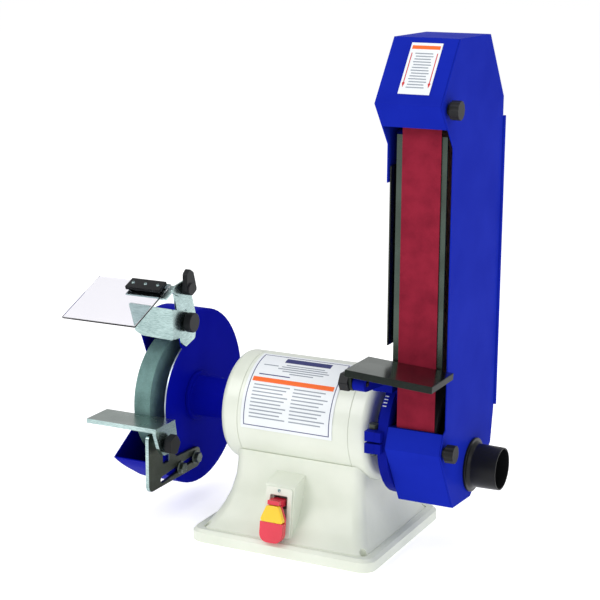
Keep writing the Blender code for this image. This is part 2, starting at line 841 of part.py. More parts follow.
def make_rest():
    """The bracket, from the rest's rear edge: its leg, the slotted arm and a window."""
    low, high = REST_PLANE
    leg = [(-0.047, -0.0125), (-0.047, -0.092), (0.089, -0.092), (0.089, -0.064), (0.026, -0.061),
           (0.021, -0.058), (0.021, -0.018), (-0.022, -0.0165), (-0.033, -0.0125)]
    leg = rounded(shifted(leg, REST_CORNER), 0.009, 3)
    window = [(-0.011, -0.062), (-0.011, -0.046), (0.005, -0.046), (0.005, -0.062)]
    window = rounded(shifted(window, REST_CORNER), 0.003, 2)
    channel = slot(*shifted([(-0.013, -0.083), (0.078, -0.076)], REST_CORNER), SLOT_RADIUS)
    pivot = arc(REST_PIVOT, 0.0035, 0, 330, 11)
    outline("rest_bracket", [leg, window, channel, pivot], low, high, "dark_steel")
    for name, (y, z) in zip(("rest_bolt_front", "rest_bolt_rear"), REST_BOLTS):
        rest_bolt(name, y, z, low, high)
    make_rest_plate(high)


def rest_bolt(name, y, z, low, high):
    head = outline("bolt_head", [hexagon((y, z), 0.013)], high + GAP + 0.0015, high + 0.008)
    washer = rod("bolt_washer", "X", (0, y, z), 0.009, high + GAP, high + 0.0018, sides=24)
    shank = rod("bolt_shank", "X", (0, y, z), 0.0036, low - GUARD_SHEET - 0.004, high + 0.004)
    joined(name, "zinc", shank, washer, head)
    hole = rod(name + "_hole", "X", (0, y, z), 0.0036 + GAP, low - 0.02, low)
    cut(bpy.data.objects["guard_shell"], hole)


def make_rest_plate(bracket_high):
    left = bracket_high + GAP + REST_STANDOFF
    right = left + BRACKET_THICKNESS
    top = box(
        "rest_top",
        (right - REST_LENGTH, REST_EDGE_Y - REST_DEPTH, REST_TOP_Z - REST_THICKNESS),
        (right, REST_EDGE_Y, REST_TOP_Z),
    )
    flap = [(-0.050, -0.001), (-0.050, -0.008), (-0.041, -0.030), (-0.030, -0.042), (-0.004, -0.042),
            (0.006, -0.034), (0.0, -0.001)]
    flap = rounded(shifted(flap, REST_CORNER), 0.005, 3)
    flange = outline("rest_flange", [flap, arc(REST_PIVOT, 0.0035, 0, 330, 11)], left, right)
    spacer = ring("rest_spacer", 0.0035, 0.0085, bracket_high + GAP, left + 0.001, None, (0, *REST_PIVOT), 11)
    plate = joined("tool_rest", "steel", top, flange, spacer)
    set_origin(plate, (right, *REST_PIVOT))
    rest_knob(right)


def rest_knob(face):
    lobes = outline("knob_lobes", [star(REST_PIVOT, 0.0140, 0.0115, 5)], face + 0.003, face + 0.013)
    neck = rod("knob_neck", "X", (0, *REST_PIVOT), 0.006, face + GAP, face + 0.006)
    stud = rod("knob_stud", "X", (0, *REST_PIVOT), 0.0031, REST_PLANE[0] + 0.0005, face + 0.008)
    knob = joined("rest_knob", "black", lobes, neck, stud)
    set_origin(knob, (face, *REST_PIVOT))


# ---------------------------------------------------------------- eye shield and spark guard

SHIELD_PLANE = (GUARD_INNER_X + GAP, GUARD_INNER_X + GAP + 0.003)
GUARD_CREST = (GUARD_OFFSET[0], AXIS_Z + GUARD_OFFSET[1] + GUARD_RADIUS)
SHIELD_PIVOT = (GUARD_CREST[0] - 0.048, GUARD_CREST[1] + 0.0405)
SHIELD_TOP = (GUARD_CREST[0] - 0.071, GUARD_CREST[1] + 0.0525)
SPARK_PIVOT = (GUARD_CREST[0] - 0.041, GUARD_CREST[1] - 0.0075)
SPARK_LOW_Z = GUARD_CREST[1] - 0.0255
SPARK_SHEET = 0.0016
SPARK_FRONT_Y = GUARD_CREST[0] - 0.078
PIN_RADIUS = 0.0030


def slanted(points, origin, slope):
    """Points given along and above a line that falls forwards from origin at a slope."""
    down = radians(slope)
    along = Vector((-cos(down), -sin(down)))
    above = Vector((-sin(down), cos(down)))
    found = []
    for first, second in points:
        spot = Vector(origin) + along * first + above * second
        found.append((spot.x, spot.y))
    return found


def make_shield():
    """The plate bolted to the guard's top that carries the eye shield and the spark guard."""
    low, high = SHIELD_PLANE
    plate = [(-0.071, 0.0440), (-0.048, 0.0500), (-0.026, 0.0330), (-0.011, -0.0070), (-0.015, -0.0360),
             (-0.040, -0.0430), (-0.050, -0.0370), (-0.064, 0.0150)]
    plate = rounded(shifted(plate, GUARD_CREST), 0.006, 3)
    pivot = arc(SHIELD_PIVOT, PIN_RADIUS + GAP, 0, 330, 11)
    y, z = SPARK_PIVOT
    channel = slot((y, z + 0.013), (y, z - 0.006), PIN_RADIUS + 2 * GAP)
    outline("shield_bracket", [plate, pivot, channel], low, high, "zinc")
    make_spark_guard(low, high)
    make_eye_shield(high)


def make_spark_guard(low, high):
    """A bent sheet: a front flap over the wheel and a tab beside the bracket."""
    y, z = SPARK_PIVOT
    right = high + GAP + SPARK_SHEET
    left = low - 0.064
    foot = SPARK_LOW_Z
    flap = [(left, foot + 0.0440), (right, foot + 0.0425), (right, foot), (left + 0.021, foot + 0.0020),
            (left + 0.010, foot + 0.0070)]
    sheet = outline("spark_sheet", [rounded(flap, 0.002, 2)], SPARK_FRONT_Y, SPARK_FRONT_Y + SPARK_SHEET,
                    to=TO_Y)
    ear = [(SPARK_FRONT_Y, foot + 0.0425), (y + 0.011, foot + 0.0310), (y + 0.012, foot - 0.0030),
           (SPARK_FRONT_Y, foot + 0.0010)]
    hole = arc(SPARK_PIVOT, PIN_RADIUS + GAP, 0, 330, 11)
    tab = outline("spark_tab", [rounded(ear, 0.003, 2), hole], high + GAP, right)
    joined("spark_guard", "zinc", sheet, tab)
    face = right + GAP
    centre = (0, y, z)
    lobes = rod("spark_lobe", "X", centre, 0.0135, face + 0.002, face + 0.012, sides=20)
    neck = rod("spark_neck", "X", centre, 0.0055, face, face + 0.004)
    stud = rod("spark_stud", "X", centre, PIN_RADIUS, low + 0.0005, face + 0.006)
    knob = joined("spark_knob", "black", lobes, neck, stud)
    set_origin(knob, (face, y, z))


def make_eye_shield(high):
    face = high + GAP
    arm_low = slanted([(-0.002, -0.0085), (0.030, -0.0085), (0.030, -0.0065), (-0.002, -0.0065)],
                      SHIELD_TOP, SHIELD_SLOPE)
    right = face + 0.0025
    left = right - SHIELD_LENGTH
    ear = [(-0.083, 0.0420), (-0.071, 0.0485), (-0.044, 0.0520), (-0.034, 0.0420), (-0.042, 0.0310),
           (-0.062, 0.0320)]
    ear = rounded(shifted(ear, GUARD_CREST), 0.004, 3)
    hole = arc(SHIELD_PIVOT, PIN_RADIUS + GAP, 0, 330, 11)
    cheek = outline("arm_cheek", [ear, hole], face, face + 0.0025)
    flat = outline("arm_flat", [arm_low], left + 0.058, face + 0.0025)
    arm = joined("shield_arm", "zinc", cheek, flat)
    pane_lines = [(0.0, -0.0062 + GAP), (SHIELD_DEPTH, -0.0062 + GAP), (SHIELD_DEPTH, -0.0032 + GAP),
                  (0.0, -0.0032 + GAP)]
    pane = outline("eye_shield", [slanted(pane_lines, SHIELD_TOP, SHIELD_SLOPE)],
                   left, right - 0.008, "clear")
    bar_lines = [(0.003, -0.0026), (0.024, -0.0026), (0.024, 0.0026), (0.003, 0.0026)]
    bar = outline("shield_clamp", [slanted(bar_lines, SHIELD_TOP, SHIELD_SLOPE)],
                  left + 0.056, right - 0.012, "black")
    wing = rod("wing_hub", "X", (0, *SHIELD_PIVOT), 0.0085, right + GAP, right + 0.012, sides=20)
    blade = [(-0.010, -0.003), (-0.010, 0.022), (-0.002, 0.028), (0.008, 0.022), (0.017, -0.004),
             (0.006, -0.009)]
    blade = rounded(shifted(blade, SHIELD_PIVOT), 0.004, 3)
    blade = outline("wing_blade", [blade], right + 0.003, right + 0.010)
    stud = rod("wing_stud", "X", (0, *SHIELD_PIVOT), PIN_RADIUS, SHIELD_PLANE[0] + 0.0005, right + 0.006)
    knob = joined("shield_knob", "black", wing, blade, stud)
    for piece in (arm, pane, bar, knob):
        set_origin(piece, (right, *SHIELD_PIVOT))


# ---------------------------------------------------------------- switch

PADDLE_PIVOT = (SWITCH_FACE_Y + 0.003, SWITCH_MIDDLE + 0.0135)
PADDLE_BACK_Y = SWITCH_FACE_Y - 0.0085
PADDLE_THICKNESS = 0.0115
PADDLE_HALF = 0.0160
NECK_HALF = 0.0085
KEY_LOW_Z = SWITCH_MIDDLE - 0.0105
KEY_DEPTH = 0.0075
PAD_LIP = 0.0004


def make_switch():
    """The panel plate, and the case behind it with a recess that the paddle's neck enters."""
    low_x = SWITCH_X - SWITCH_WIDTH / 2
    high_x = SWITCH_X + SWITCH_WIDTH / 2
    back = SWITCH_FACE_Y - GAP
    middle = SWITCH_MIDDLE
    half = SWITCH_CASE / 2 - GAP
    face = rounded([(low_x, SWITCH_LOW_Z), (high_x, SWITCH_LOW_Z), (high_x, SWITCH_HIGH_Z),
                    (low_x, SWITCH_HIGH_Z)], 0.003, 3)
    window = rounded([(SWITCH_X - half + 0.002, middle - 0.0235), (SWITCH_X + half - 0.002, middle - 0.0235),
                      (SWITCH_X + half - 0.002, middle + 0.0225), (SWITCH_X - half + 0.002, middle + 0.0225)],
                     0.002, 2)
    plate = outline("panel", [face, window], back - 0.0025, back, to=TO_Y)
    leaned(plate)
    rename(plate, "switch_plate", "cream")
    case = box("switch_case", (SWITCH_X - half, back + GAP, middle - 0.0235),
               (SWITCH_X + half, -PEDESTAL_DEPTH / 2 + 0.010, middle + 0.0235))
    leaned(case)
    recess = box("case_recess", (SWITCH_X - half + 0.002, back - 0.01, middle - 0.0215),
                 (SWITCH_X + half - 0.002, back + 0.003, middle + 0.0215))
    throat = box("case_throat", (SWITCH_X - NECK_HALF - 3 * GAP, back - 0.01, middle + 0.0040),
                 (SWITCH_X + NECK_HALF + 3 * GAP, SWITCH_FACE_Y + 0.014, middle + 0.0205))
    body = rename(case, "switch_body", "grey")
    cut(body, leaned(recess), leaned(throat))
    make_paddle()


def paddle_outline(low):
    """The front view of the paddle from a height up: a bulb that narrows to its neck."""
    top = SWITCH_MIDDLE + 0.0115
    wide = SWITCH_MIDDLE - 0.0060
    half = [(NECK_HALF, top), (PADDLE_HALF, wide), (PADDLE_HALF, low)]
    return [(SWITCH_X + x, z) for x, z in half] + [(SWITCH_X - x, z) for x, z in reversed(half)]


def rounded_foot(half, top, foot, radius):
    """A block's front view with square upper corners and round lower ones."""
    right = arc((SWITCH_X + half - radius, foot + radius), radius, 0, -90, 5)
    left = arc((SWITCH_X - half + radius, foot + radius), radius, -90, -180, 5)
    return top[:1] + right + left + top[1:]


def make_paddle():
    """The red stop paddle, and the yellow key that pulls out of its upper half."""
    front = PADDLE_BACK_Y - PADDLE_THICKNESS
    web = front + KEY_DEPTH
    foot = SWITCH_MIDDLE - 0.0370
    upper = paddle_outline(foot)
    waist = rounded_foot(PADDLE_HALF, [upper[1], upper[4]], foot, 0.011)
    shape = upper[:1] + waist + upper[5:]
    whole = outline("paddle_web", [shape], web, PADDLE_BACK_Y, to=TO_Y)
    low_x = SWITCH_X - PADDLE_HALF - PAD_LIP
    high_x = SWITCH_X + PADDLE_HALF + PAD_LIP
    base = foot - PAD_LIP
    brow = [(high_x, KEY_LOW_Z - GAP), (low_x, KEY_LOW_Z - GAP)]
    lower = rounded_foot(PADDLE_HALF + PAD_LIP, brow, base, 0.011)
    pad = outline("paddle_pad", [lower], front, web + 0.001, to=TO_Y)
    neck = box("paddle_neck", (SWITCH_X - NECK_HALF, PADDLE_BACK_Y - 0.001, PADDLE_PIVOT[1] - 0.0045),
               (SWITCH_X + NECK_HALF, SWITCH_FACE_Y + 0.0075, PADDLE_PIVOT[1] + 0.0045))
    brow = box("paddle_brow", (SWITCH_X - NECK_HALF + 0.0002, front + 0.002, PADDLE_PIVOT[1] - 0.0012),
               (SWITCH_X + NECK_HALF - 0.0002, PADDLE_BACK_Y - 0.0005, PADDLE_PIVOT[1] + 0.0043))
    paddle = joined("switch_paddle", "red", whole, pad, neck, brow)
    key_shape = [(x, max(z, KEY_LOW_Z)) for x, z in upper]
    key = outline("key_block", [rounded(key_shape, 0.0025, 2)], front - 0.0005, web - GAP, to=TO_Y)
    key = rename(leaned(key), "switch_key", "yellow")
    leaned(paddle)
    pivot = (SWITCH_X, *leaned_point(*PADDLE_PIVOT))
    set_origin(paddle, pivot)
    set_origin(key, pivot)


# ---------------------------------------------------------------- belt arm frame

def idler_height():
    """Height of the idler above the spindle for a belt of this length, its front run upright."""
    lean = DRUM_RADIUS - IDLER_RADIUS
    straight = BELT_LOOP - pi * (DRUM_RADIUS + IDLER_RADIUS)
    reach = straight / 2
    for _ in range(20):
        reach = (straight - lean * lean / reach) / 2
    return (reach * reach - lean * lean) ** 0.5


IDLER_Y = IDLER_RADIUS - DRUM_RADIUS
IDLER_Z = AXIS_Z + idler_height()
COLUMN_LOW_X = MOTOR_END_X + 0.0272
COLUMN_HIGH_X = MOTOR_END_X + 0.0340
COLUMN_FRONT_Y = -0.058
COLUMN_TOP_Z = IDLER_Z - 0.040
RING_OUTER = 0.054
DISC_RADIUS = 0.086
RING_LOW_X = MOTOR_X + MOTOR_LENGTH / 2 + 0.0008 + 0.004
EAR_LOW_Z = AXIS_Z - 0.011
EAR_HIGH_Z = AXIS_Z + 0.018
EAR_FRONT_Y = -0.095
LOCK_Y = -0.080
LOCK_X = (RING_LOW_X + SPIGOT_END_X) / 2


def make_arm():
    centre = (0, 0, AXIS_Z)
    shaft_hole = SHAFT_RADIUS + 0.006
    collar = [
        (SPIGOT_RADIUS + GAP, RING_LOW_X),
        (RING_OUTER, RING_LOW_X),
        (RING_OUTER, SPIGOT_END_X),
        (DISC_RADIUS, SPIGOT_END_X),
        (DISC_RADIUS, COVER_LEFT - 0.0005),
        (shaft_hole, COVER_LEFT - 0.0005),
        (shaft_hole, SPIGOT_END_X + GAP),
        (SPIGOT_RADIUS + GAP, SPIGOT_END_X + GAP),
    ]
    hub = turned("arm_hub", collar, None, centre, ROUND, True)
    side = [(-0.034, AXIS_Z - 0.030), (0.034, AXIS_Z - 0.030), (0.046, AXIS_Z + 0.040), (0.040, 0.420),
            (0.010, COLUMN_TOP_Z), (COLUMN_FRONT_Y, COLUMN_TOP_Z), (COLUMN_FRONT_Y, AXIS_Z + 0.060)]
    hole = arc((0, AXIS_Z), shaft_hole + 0.006, 0, 345, 23)
    column = outline("arm_column", [rounded(side, 0.008, 3), hole], COLUMN_LOW_X, COLUMN_HIGH_X)
    ear = box("arm_ear", (RING_LOW_X + 0.001, EAR_FRONT_Y, EAR_LOW_Z),
              (SPIGOT_END_X - 0.0005, -0.046, EAR_HIGH_Z))
    brow = box("arm_brow", (SPIGOT_END_X - 0.0032, EAR_FRONT_Y + 0.0004, EAR_LOW_Z + 0.0004),
               (COVER_LEFT - 0.0055, -0.078, EAR_HIGH_Z - 0.0004))
    casting = joined("arm_casting", "dark_blue", hub, column, ear, brow)
    middle = (EAR_LOW_Z + EAR_HIGH_Z) / 2
    split = box("ear_split", (RING_LOW_X - 0.01, EAR_FRONT_Y - 0.01, middle - 0.0015),
                (SPIGOT_END_X + 0.0001, -0.039, middle + 0.0015))
    notch = box("brow_split", (SPIGOT_END_X - 0.001, EAR_FRONT_Y - 0.01, middle - 0.0013),
                (COVER_LEFT, EAR_FRONT_Y + 0.0075, middle + 0.0013))
    hole = rod("lock_hole", "Z", (LOCK_X, LOCK_Y, 0), 0.0045 + GAP, EAR_LOW_Z - 0.01, EAR_HIGH_Z + 0.01)
    cut(casting, split, notch, hole)
    set_origin(casting, centre)
    head = outline("lock_head", [hexagon((LOCK_X, LOCK_Y), 0.012)], EAR_HIGH_Z + GAP, EAR_HIGH_Z + 0.0065,
                   to=TO_Z)
    shank = rod("lock_shank", "Z", (LOCK_X, LOCK_Y, 0), 0.0045, EAR_LOW_Z - 0.006, EAR_HIGH_Z + 0.002)
    bolt = joined("arm_lock_bolt", "dark_steel", shank, head)
    set_origin(bolt, (LOCK_X, LOCK_Y, EAR_HIGH_Z))


def make_platen():
    plane = -DRUM_RADIUS + GAP + 0.0003
    left = COLUMN_HIGH_X + GAP
    right = BELT_X + BELT_WIDTH / 2 + 0.007
    back = plane + 0.003
    top = IDLER_Z - 0.0430
    low = AXIS_Z + 0.094
    face = box("platen_face", (left + 0.0002, plane, low), (right, back, top))
    foot = box("platen_foot", (left, back - 0.001, 0.300), (left + 0.005, -0.030, 0.345))
    upper = box("platen_lug", (left, back - 0.001, 0.440), (left + 0.005, -0.030, 0.475))
    joined("platen", "dark_steel", face, foot, upper)


def make_belt():
    drum = (0, AXIS_Z)
    idler = (IDLER_Y, IDLER_Z)
    span = Vector(idler) - Vector(drum)
    # The front run is upright; the rear run's tangent mirrors it about the line of centres.
    line = Vector((1.0, 0.0)).angle_signed(span)
    centre_line = -line * 180 / pi
    rear = 2 * centre_line - 180

    def loop(extra):
        lower = arc(drum, DRUM_RADIUS + extra, 180, 360 + rear, 40)
        upper = arc(idler, IDLER_RADIUS + extra, rear, 180, 20)
        return lower + upper

    outline(
        "sanding_belt", [loop(GAP + BELT_THICKNESS), loop(GAP)],
        BELT_X - BELT_WIDTH / 2 + 0.0002, BELT_X + BELT_WIDTH / 2 - 0.0002, "belt",
    )


def make_idler():
    left = BELT_X - BELT_WIDTH / 2
    right = BELT_X + BELT_WIDTH / 2
    centre = (0, IDLER_Y, IDLER_Z)
    bearing = 0.011
    bore = 0.005
    crown = 0.0006
    wheel = [
        (bearing + GAP, left),
        (IDLER_RADIUS - crown, left),
        (IDLER_RADIUS, left + BELT_WIDTH * 0.4),
        (IDLER_RADIUS, right - BELT_WIDTH * 0.4),
        (IDLER_RADIUS - crown, right),
        (bearing + GAP, right),
    ]
    made = turned("idler_wheel", wheel, "steel", centre, 32, True)
    set_origin(made, centre)
    sleeve = ring("idler_bearing", bore + GAP, bearing, left + 0.001, right - 0.001, "zinc", centre, 24)
    set_origin(sleeve, centre)
    yoke_low = COLUMN_HIGH_X + GAP
    yoke_high = left - 0.0022
    axle = rod("idler_pin", "X", centre, bore, yoke_low + 0.001, right + 0.003, sides=24)
    cap = rod("idler_cap", "X", centre, 0.009, right + GAP, right + 0.0035, sides=24)
    plate = box("yoke_plate", (yoke_low, IDLER_Y - 0.013, IDLER_Z - 0.062),
                (yoke_high, IDLER_Y + 0.022, IDLER_Z + 0.014))
    yoke = joined("idler_yoke", "dark_steel", plate, axle, cap)
    set_origin(yoke, centre)
    make_spring(yoke_low, yoke_high)
    make_tracking_knob(yoke_low, yoke_high)


def make_spring(low, high):
    """The coil under the yoke that keeps the belt tight."""
    radius = (high - low) / 2 - 0.0006
    middle_x = (low + high) / 2
    top = IDLER_Z - 0.0625
    length = 0.042
    turns = 7
    steps = 10
    curve = bpy.data.curves.new("tension_spring", "CURVE")
    curve.dimensions = "3D"
    curve.bevel_depth = 0.0006
    curve.bevel_resolution = 0
    curve.use_fill_caps = True
    line = curve.splines.new("POLY")
    line.points.add(turns * steps)
    for index, point in enumerate(line.points):
        angle = 2 * pi * index / steps
        share = index / (turns * steps)
        point.co = (radius * cos(angle), radius * sin(angle), -length * share, 1.0)
    coil = bpy.data.objects.new("tension_spring", curve)
    bpy.context.scene.collection.objects.link(coil)
    coil.location = (middle_x, IDLER_Y, top - 0.0008)
    solid = baked(coil)
    rename(solid, "tension_spring", "steel")


def make_tracking_knob(low, high):
    middle_x = (low + high) / 2
    z = IDLER_Z - 0.030
    start = IDLER_Y + 0.022 + GAP
    wall = HOUSING_REAR
    lobes = outline("track_lobes", [star((middle_x, z), 0.014, 0.0115, 6)], wall + 0.006, wall + 0.018,
                    to=TO_Y)
    stem = rod("track_stem", "Y", (middle_x, 0, z), 0.0030, start, wall + 0.010)
    knob = joined("tracking_knob", "black", lobes, stem)
    set_origin(knob, (middle_x, wall, z))


# ---------------------------------------------------------------- housing

def housing_profile():
    """The arm's side shape as (y, z), clockwise from the lower front corner."""
    rear = HOUSING_REAR
    return [
        (-0.045, AXIS_Z - 0.084),
        (-0.093, AXIS_Z - 0.002),
        (-0.083, COVER_TOP_Z),
        (-0.076, COVER_TOP_Z + 0.004),
        (-0.076, IDLER_Z - 0.056),
        (-0.094, IDLER_Z - 0.033),
        (-0.1175, IDLER_Z - 0.003),
        (-0.061, IDLER_Z + 0.0725),
        (0.042, IDLER_Z + 0.0725),
        (rear, IDLER_Z - 0.009),
        (rear, AXIS_Z + 0.012),
        (0.090, AXIS_Z - 0.034),
        (0.018, AXIS_Z - 0.088),
    ]


def hollowed(name, colour, profile, opening, left, right):
    """A tray of sheet: the profile's solid, less its inside, which runs out through an opening."""
    solid = outline(name, [profile], left, right, colour)
    inner = inset(profile, SHEET)[: len(profile) - opening[0]]
    space = outline(name + "_inside", [inner + opening[1]], left + SHEET, right + 0.01)
    return cut(solid, space)


def make_housing():
    whole = housing_profile()
    inner_right = HOUSING_RIGHT - SHEET - GAP
    front, lip, knee, top_front, top_back, shoulder = whole[4:10]
    hood_side = [lip, knee, top_front, top_back, shoulder, (HOUSING_REAR, HOOD_BOTTOM_Z),
                 (front[0], HOOD_BOTTOM_Z), front]
    below = HOOD_BOTTOM_Z - 0.01
    mouth = [(HOUSING_REAR - SHEET, below), (-0.150, below), (-0.150, lip[1] - 0.012)]
    hood = hollowed("hood", "blue", hood_side, (3, mouth), HOOD_LEFT, inner_right)
    z = IDLER_Z - 0.030
    knob_x = (COLUMN_HIGH_X + GAP + BELT_X - BELT_WIDTH / 2 - 0.0022) / 2
    cut(hood, rod("tracking_hole", "Y", (knob_x, 0, z), 0.0045, HOUSING_REAR - 0.01, HOUSING_REAR + 0.01))
    make_back_panel(whole, inner_right)
    make_lower_cover(whole, inner_right)
    make_door(whole)
    make_side_plate()


def make_back_panel(whole, inner_right):
    rear = HOUSING_REAR
    top = HOOD_BOTTOM_Z - GAP
    low = whole[10][1] + GAP
    wall = box("back_wall", (HOOD_LEFT, rear - SHEET, low), (inner_right, rear, top))
    above_ring = AXIS_Z + DISC_RADIUS + 0.004
    side = box("back_side", (HOOD_LEFT, 0.020, above_ring), (HOOD_LEFT + SHEET, rear, top))
    shelf = box("back_web", (HOOD_LEFT, rear - 0.020, 0.330), (COLUMN_HIGH_X, rear - SHEET / 2, 0.350))
    web = box("back_stay", (COLUMN_LOW_X + 0.0005, 0.0465, 0.330), (COLUMN_HIGH_X, rear - 0.010, 0.350))
    joined("back_panel", "blue", wall, side, shelf, web)


def make_lower_cover(whole, inner_right):
    profile = [whole[2], whole[1], whole[0], whole[12], whole[11], whole[10]]
    above = COVER_TOP_Z + 0.02
    mouth = [(HOUSING_REAR - SHEET, above), (whole[2][0] + SHEET, above)]
    cover = hollowed("lower_cover", "blue", profile, (0, mouth), COVER_LEFT, inner_right)
    clear = RING_OUTER + 0.006
    cut(cover, rod("cover_hole", "X", (0, 0, AXIS_Z), clear, COVER_LEFT - 0.01, COVER_LEFT + 0.006, sides=ROUND))


def make_door(whole):
    sheet = outline("side_door", [whole], HOUSING_RIGHT - SHEET, HOUSING_RIGHT, "blue")
    bore = PORT_OUTER / 2 - PORT_WALL
    cut(sheet, rod("port_hole", "X", (0, PORT_Y, PORT_Z), bore, HOUSING_RIGHT - 0.01, HOUSING_RIGHT + 0.01,
                   sides=32))
    hinge = (HOUSING_RIGHT + 0.0005, HOUSING_REAR + 0.0027)
    set_origin(sheet, (*hinge, AXIS_Z))
    low = AXIS_Z + 0.016
    high = IDLER_Z - 0.034
    barrel = rod("hinge_barrel", "Z", (*hinge, 0), 0.0022, low, high, sides=12)
    leaf = box("hinge_leaf", (HOUSING_RIGHT - 0.014, HOUSING_REAR + GAP, low),
               (hinge[0], HOUSING_REAR + 0.0014, high))
    joined("door_hinge", "blue", barrel, leaf)
    make_port(bore)
    for name, y, z in (("door_knob_upper", -0.096, IDLER_Z - 0.008),
                       ("door_knob_lower", -0.083, AXIS_Z + 0.001)):
        make_door_knob(name, y, z, sheet)


def make_door_knob(name, y, z, sheet):
    face = HOUSING_RIGHT + GAP
    grip = outline("grip", [star((y, z), 0.0118, 0.0108, 12)], face + 0.004, face + 0.016)
    neck = rod("grip_neck", "X", (0, y, z), 0.0065, face, face + 0.006)
    stud = rod("grip_stud", "X", (0, y, z), 0.0028, HOUSING_RIGHT - SHEET - 0.006, face + 0.006)
    knob = joined(name, "black", grip, neck, stud)
    set_origin(knob, (face, y, z))
    cut(sheet, rod(name + "_hole", "X", (0, y, z), 0.0028 + GAP, HOUSING_RIGHT - 0.01, HOUSING_RIGHT + 0.01))


def make_port(bore):
    outer = PORT_OUTER / 2
    face = HOUSING_RIGHT + GAP
    profile = [
        (bore, face),
        (outer + 0.007, face),
        (outer + 0.007, face + 0.003),
        (outer + 0.003, face + 0.0035),
        (outer, face + 0.007),
        (outer - 0.0006, face + 0.041),
        (bore, face + 0.041),
    ]
    turned("dust_port", profile, "black", (0, PORT_Y, PORT_Z), 32, True)


def make_side_plate():
    left = HOOD_LEFT + SHEET + GAP
    box("side_plate", (left, -0.0712, 0.290), (left + 0.0018, 0.0195, IDLER_Z - 0.083), "dark_steel")


# ---------------------------------------------------------------- belt table

TABLE_LEFT = MOTOR_END_X + 0.003
TABLE_ROLL = 3.5
TABLE_LUG = 0.004
TABLE_PIVOT = (-0.128, TABLE_TOP_Z - 0.0180)


def make_table():
    back = -DRUM_RADIUS - GAP - BELT_THICKNESS - BELT_GAP
    under = TABLE_TOP_Z - TABLE_THICKNESS
    plate = box("table_top", (TABLE_LEFT, back - TABLE_DEPTH, under),
                (TABLE_LEFT + TABLE_LENGTH, back, TABLE_TOP_Z))
    turned_about(plate, "Y", (TABLE_LEFT + TABLE_LENGTH / 2, 0, TABLE_TOP_Z), TABLE_ROLL)
    bevel(plate, 0.0006, 1)
    y, z = TABLE_PIVOT
    lug = rounded([(y - 0.013, under + 0.004), (y - 0.010, z - 0.004), (y - 0.004, z - 0.010),
                   (y + 0.004, z - 0.010), (y + 0.010, z - 0.004), (y + 0.013, under + 0.004)], 0.004, 3)
    hole = arc((y, z), 0.0040, 0, 330, 11)
    lug = outline("table_lug", [lug, hole], TABLE_LEFT + 0.0003, TABLE_LEFT + TABLE_LUG)
    table = joined("sander_table", "dark_steel", plate, lug)
    set_origin(table, (TABLE_LEFT, y, z))
    make_table_bracket(y, z)
    stud = rod("table_stud", "X", (0, y, z), 0.0034, TABLE_LEFT - 0.004, TABLE_LEFT + 0.022)
    grip = outline("table_grip", [star((y, z), 0.0125, 0.0105, 6)], TABLE_LEFT - 0.014, TABLE_LEFT - 0.001)
    knob = joined("table_knob", "black", stud, grip)
    set_origin(knob, (TABLE_LEFT, y, z))


def make_table_bracket(y, z):
    """The cast arm bolted above the disc that carries the table's pivot."""
    low = TABLE_LEFT + TABLE_LUG + GAP
    front = COLUMN_FRONT_Y - 0.016
    foot = AXIS_Z + (DISC_RADIUS ** 2 - COLUMN_FRONT_Y ** 2) ** 0.5 + 0.002
    top = TABLE_TOP_Z - TABLE_THICKNESS - 0.003
    upright = box("bracket_upright", (low, front, foot), (COLUMN_HIGH_X - GAP, COLUMN_FRONT_Y - GAP, top))
    nose = arc((y, z), 0.0100, 90, 270, 8)
    cheek = nose + [(front + 0.003, z - 0.015), (front + 0.003, top - 0.0005)]
    hole = arc((y, z), 0.0040, 0, 330, 11)
    cheek = outline("bracket_cheek", [cheek, hole], low + 0.0002, COLUMN_LOW_X - 0.004)
    joined("table_bracket", "dark_blue", upright, cheek)


def make_hood_label():
    """The curved edge-free label on the hood's slope."""
    knee = Vector(housing_profile()[6])
    crest = Vector(housing_profile()[7])
    along = (crest - knee).normalized()
    above = Vector((-along.y, along.x))
    low = knee + along * 0.015 + above * GAP
    high = crest - along * 0.008 + above * GAP
    lines = [low, high, high + above * 0.0005, low + above * 0.0005]
    left = HOOD_LEFT + 0.026
    outline("hood_label", [[(p.x, p.y) for p in lines]], left, left + 0.040, "label")


def main():
    clear_scene()
    make_base()
    make_base_fittings()
    make_motor()
    make_bells()
    make_spindle()
    make_guard()
    make_guard_hub()
    make_rest()
    make_shield()
    make_switch()
    make_arm()
    make_platen()
    make_belt()
    make_idler()
    make_housing()
    make_table()
    make_hood_label()


main()
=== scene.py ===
"""Finished look of a bench grinder with a belt-sander arm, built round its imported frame.

Each sub-assembly is a class that dresses its own pieces. Sizes are metres in the frame's own axes:
+X along the spindle towards the belt arm, -Y towards the operator, +Z up.
"""

from __future__ import annotations

import json
import logging
import math
import sys
from dataclasses import dataclass, field
from enum import Enum
from typing import Callable, Iterable, Sequence

import bmesh
import bpy
from mathutils import Matrix, Vector

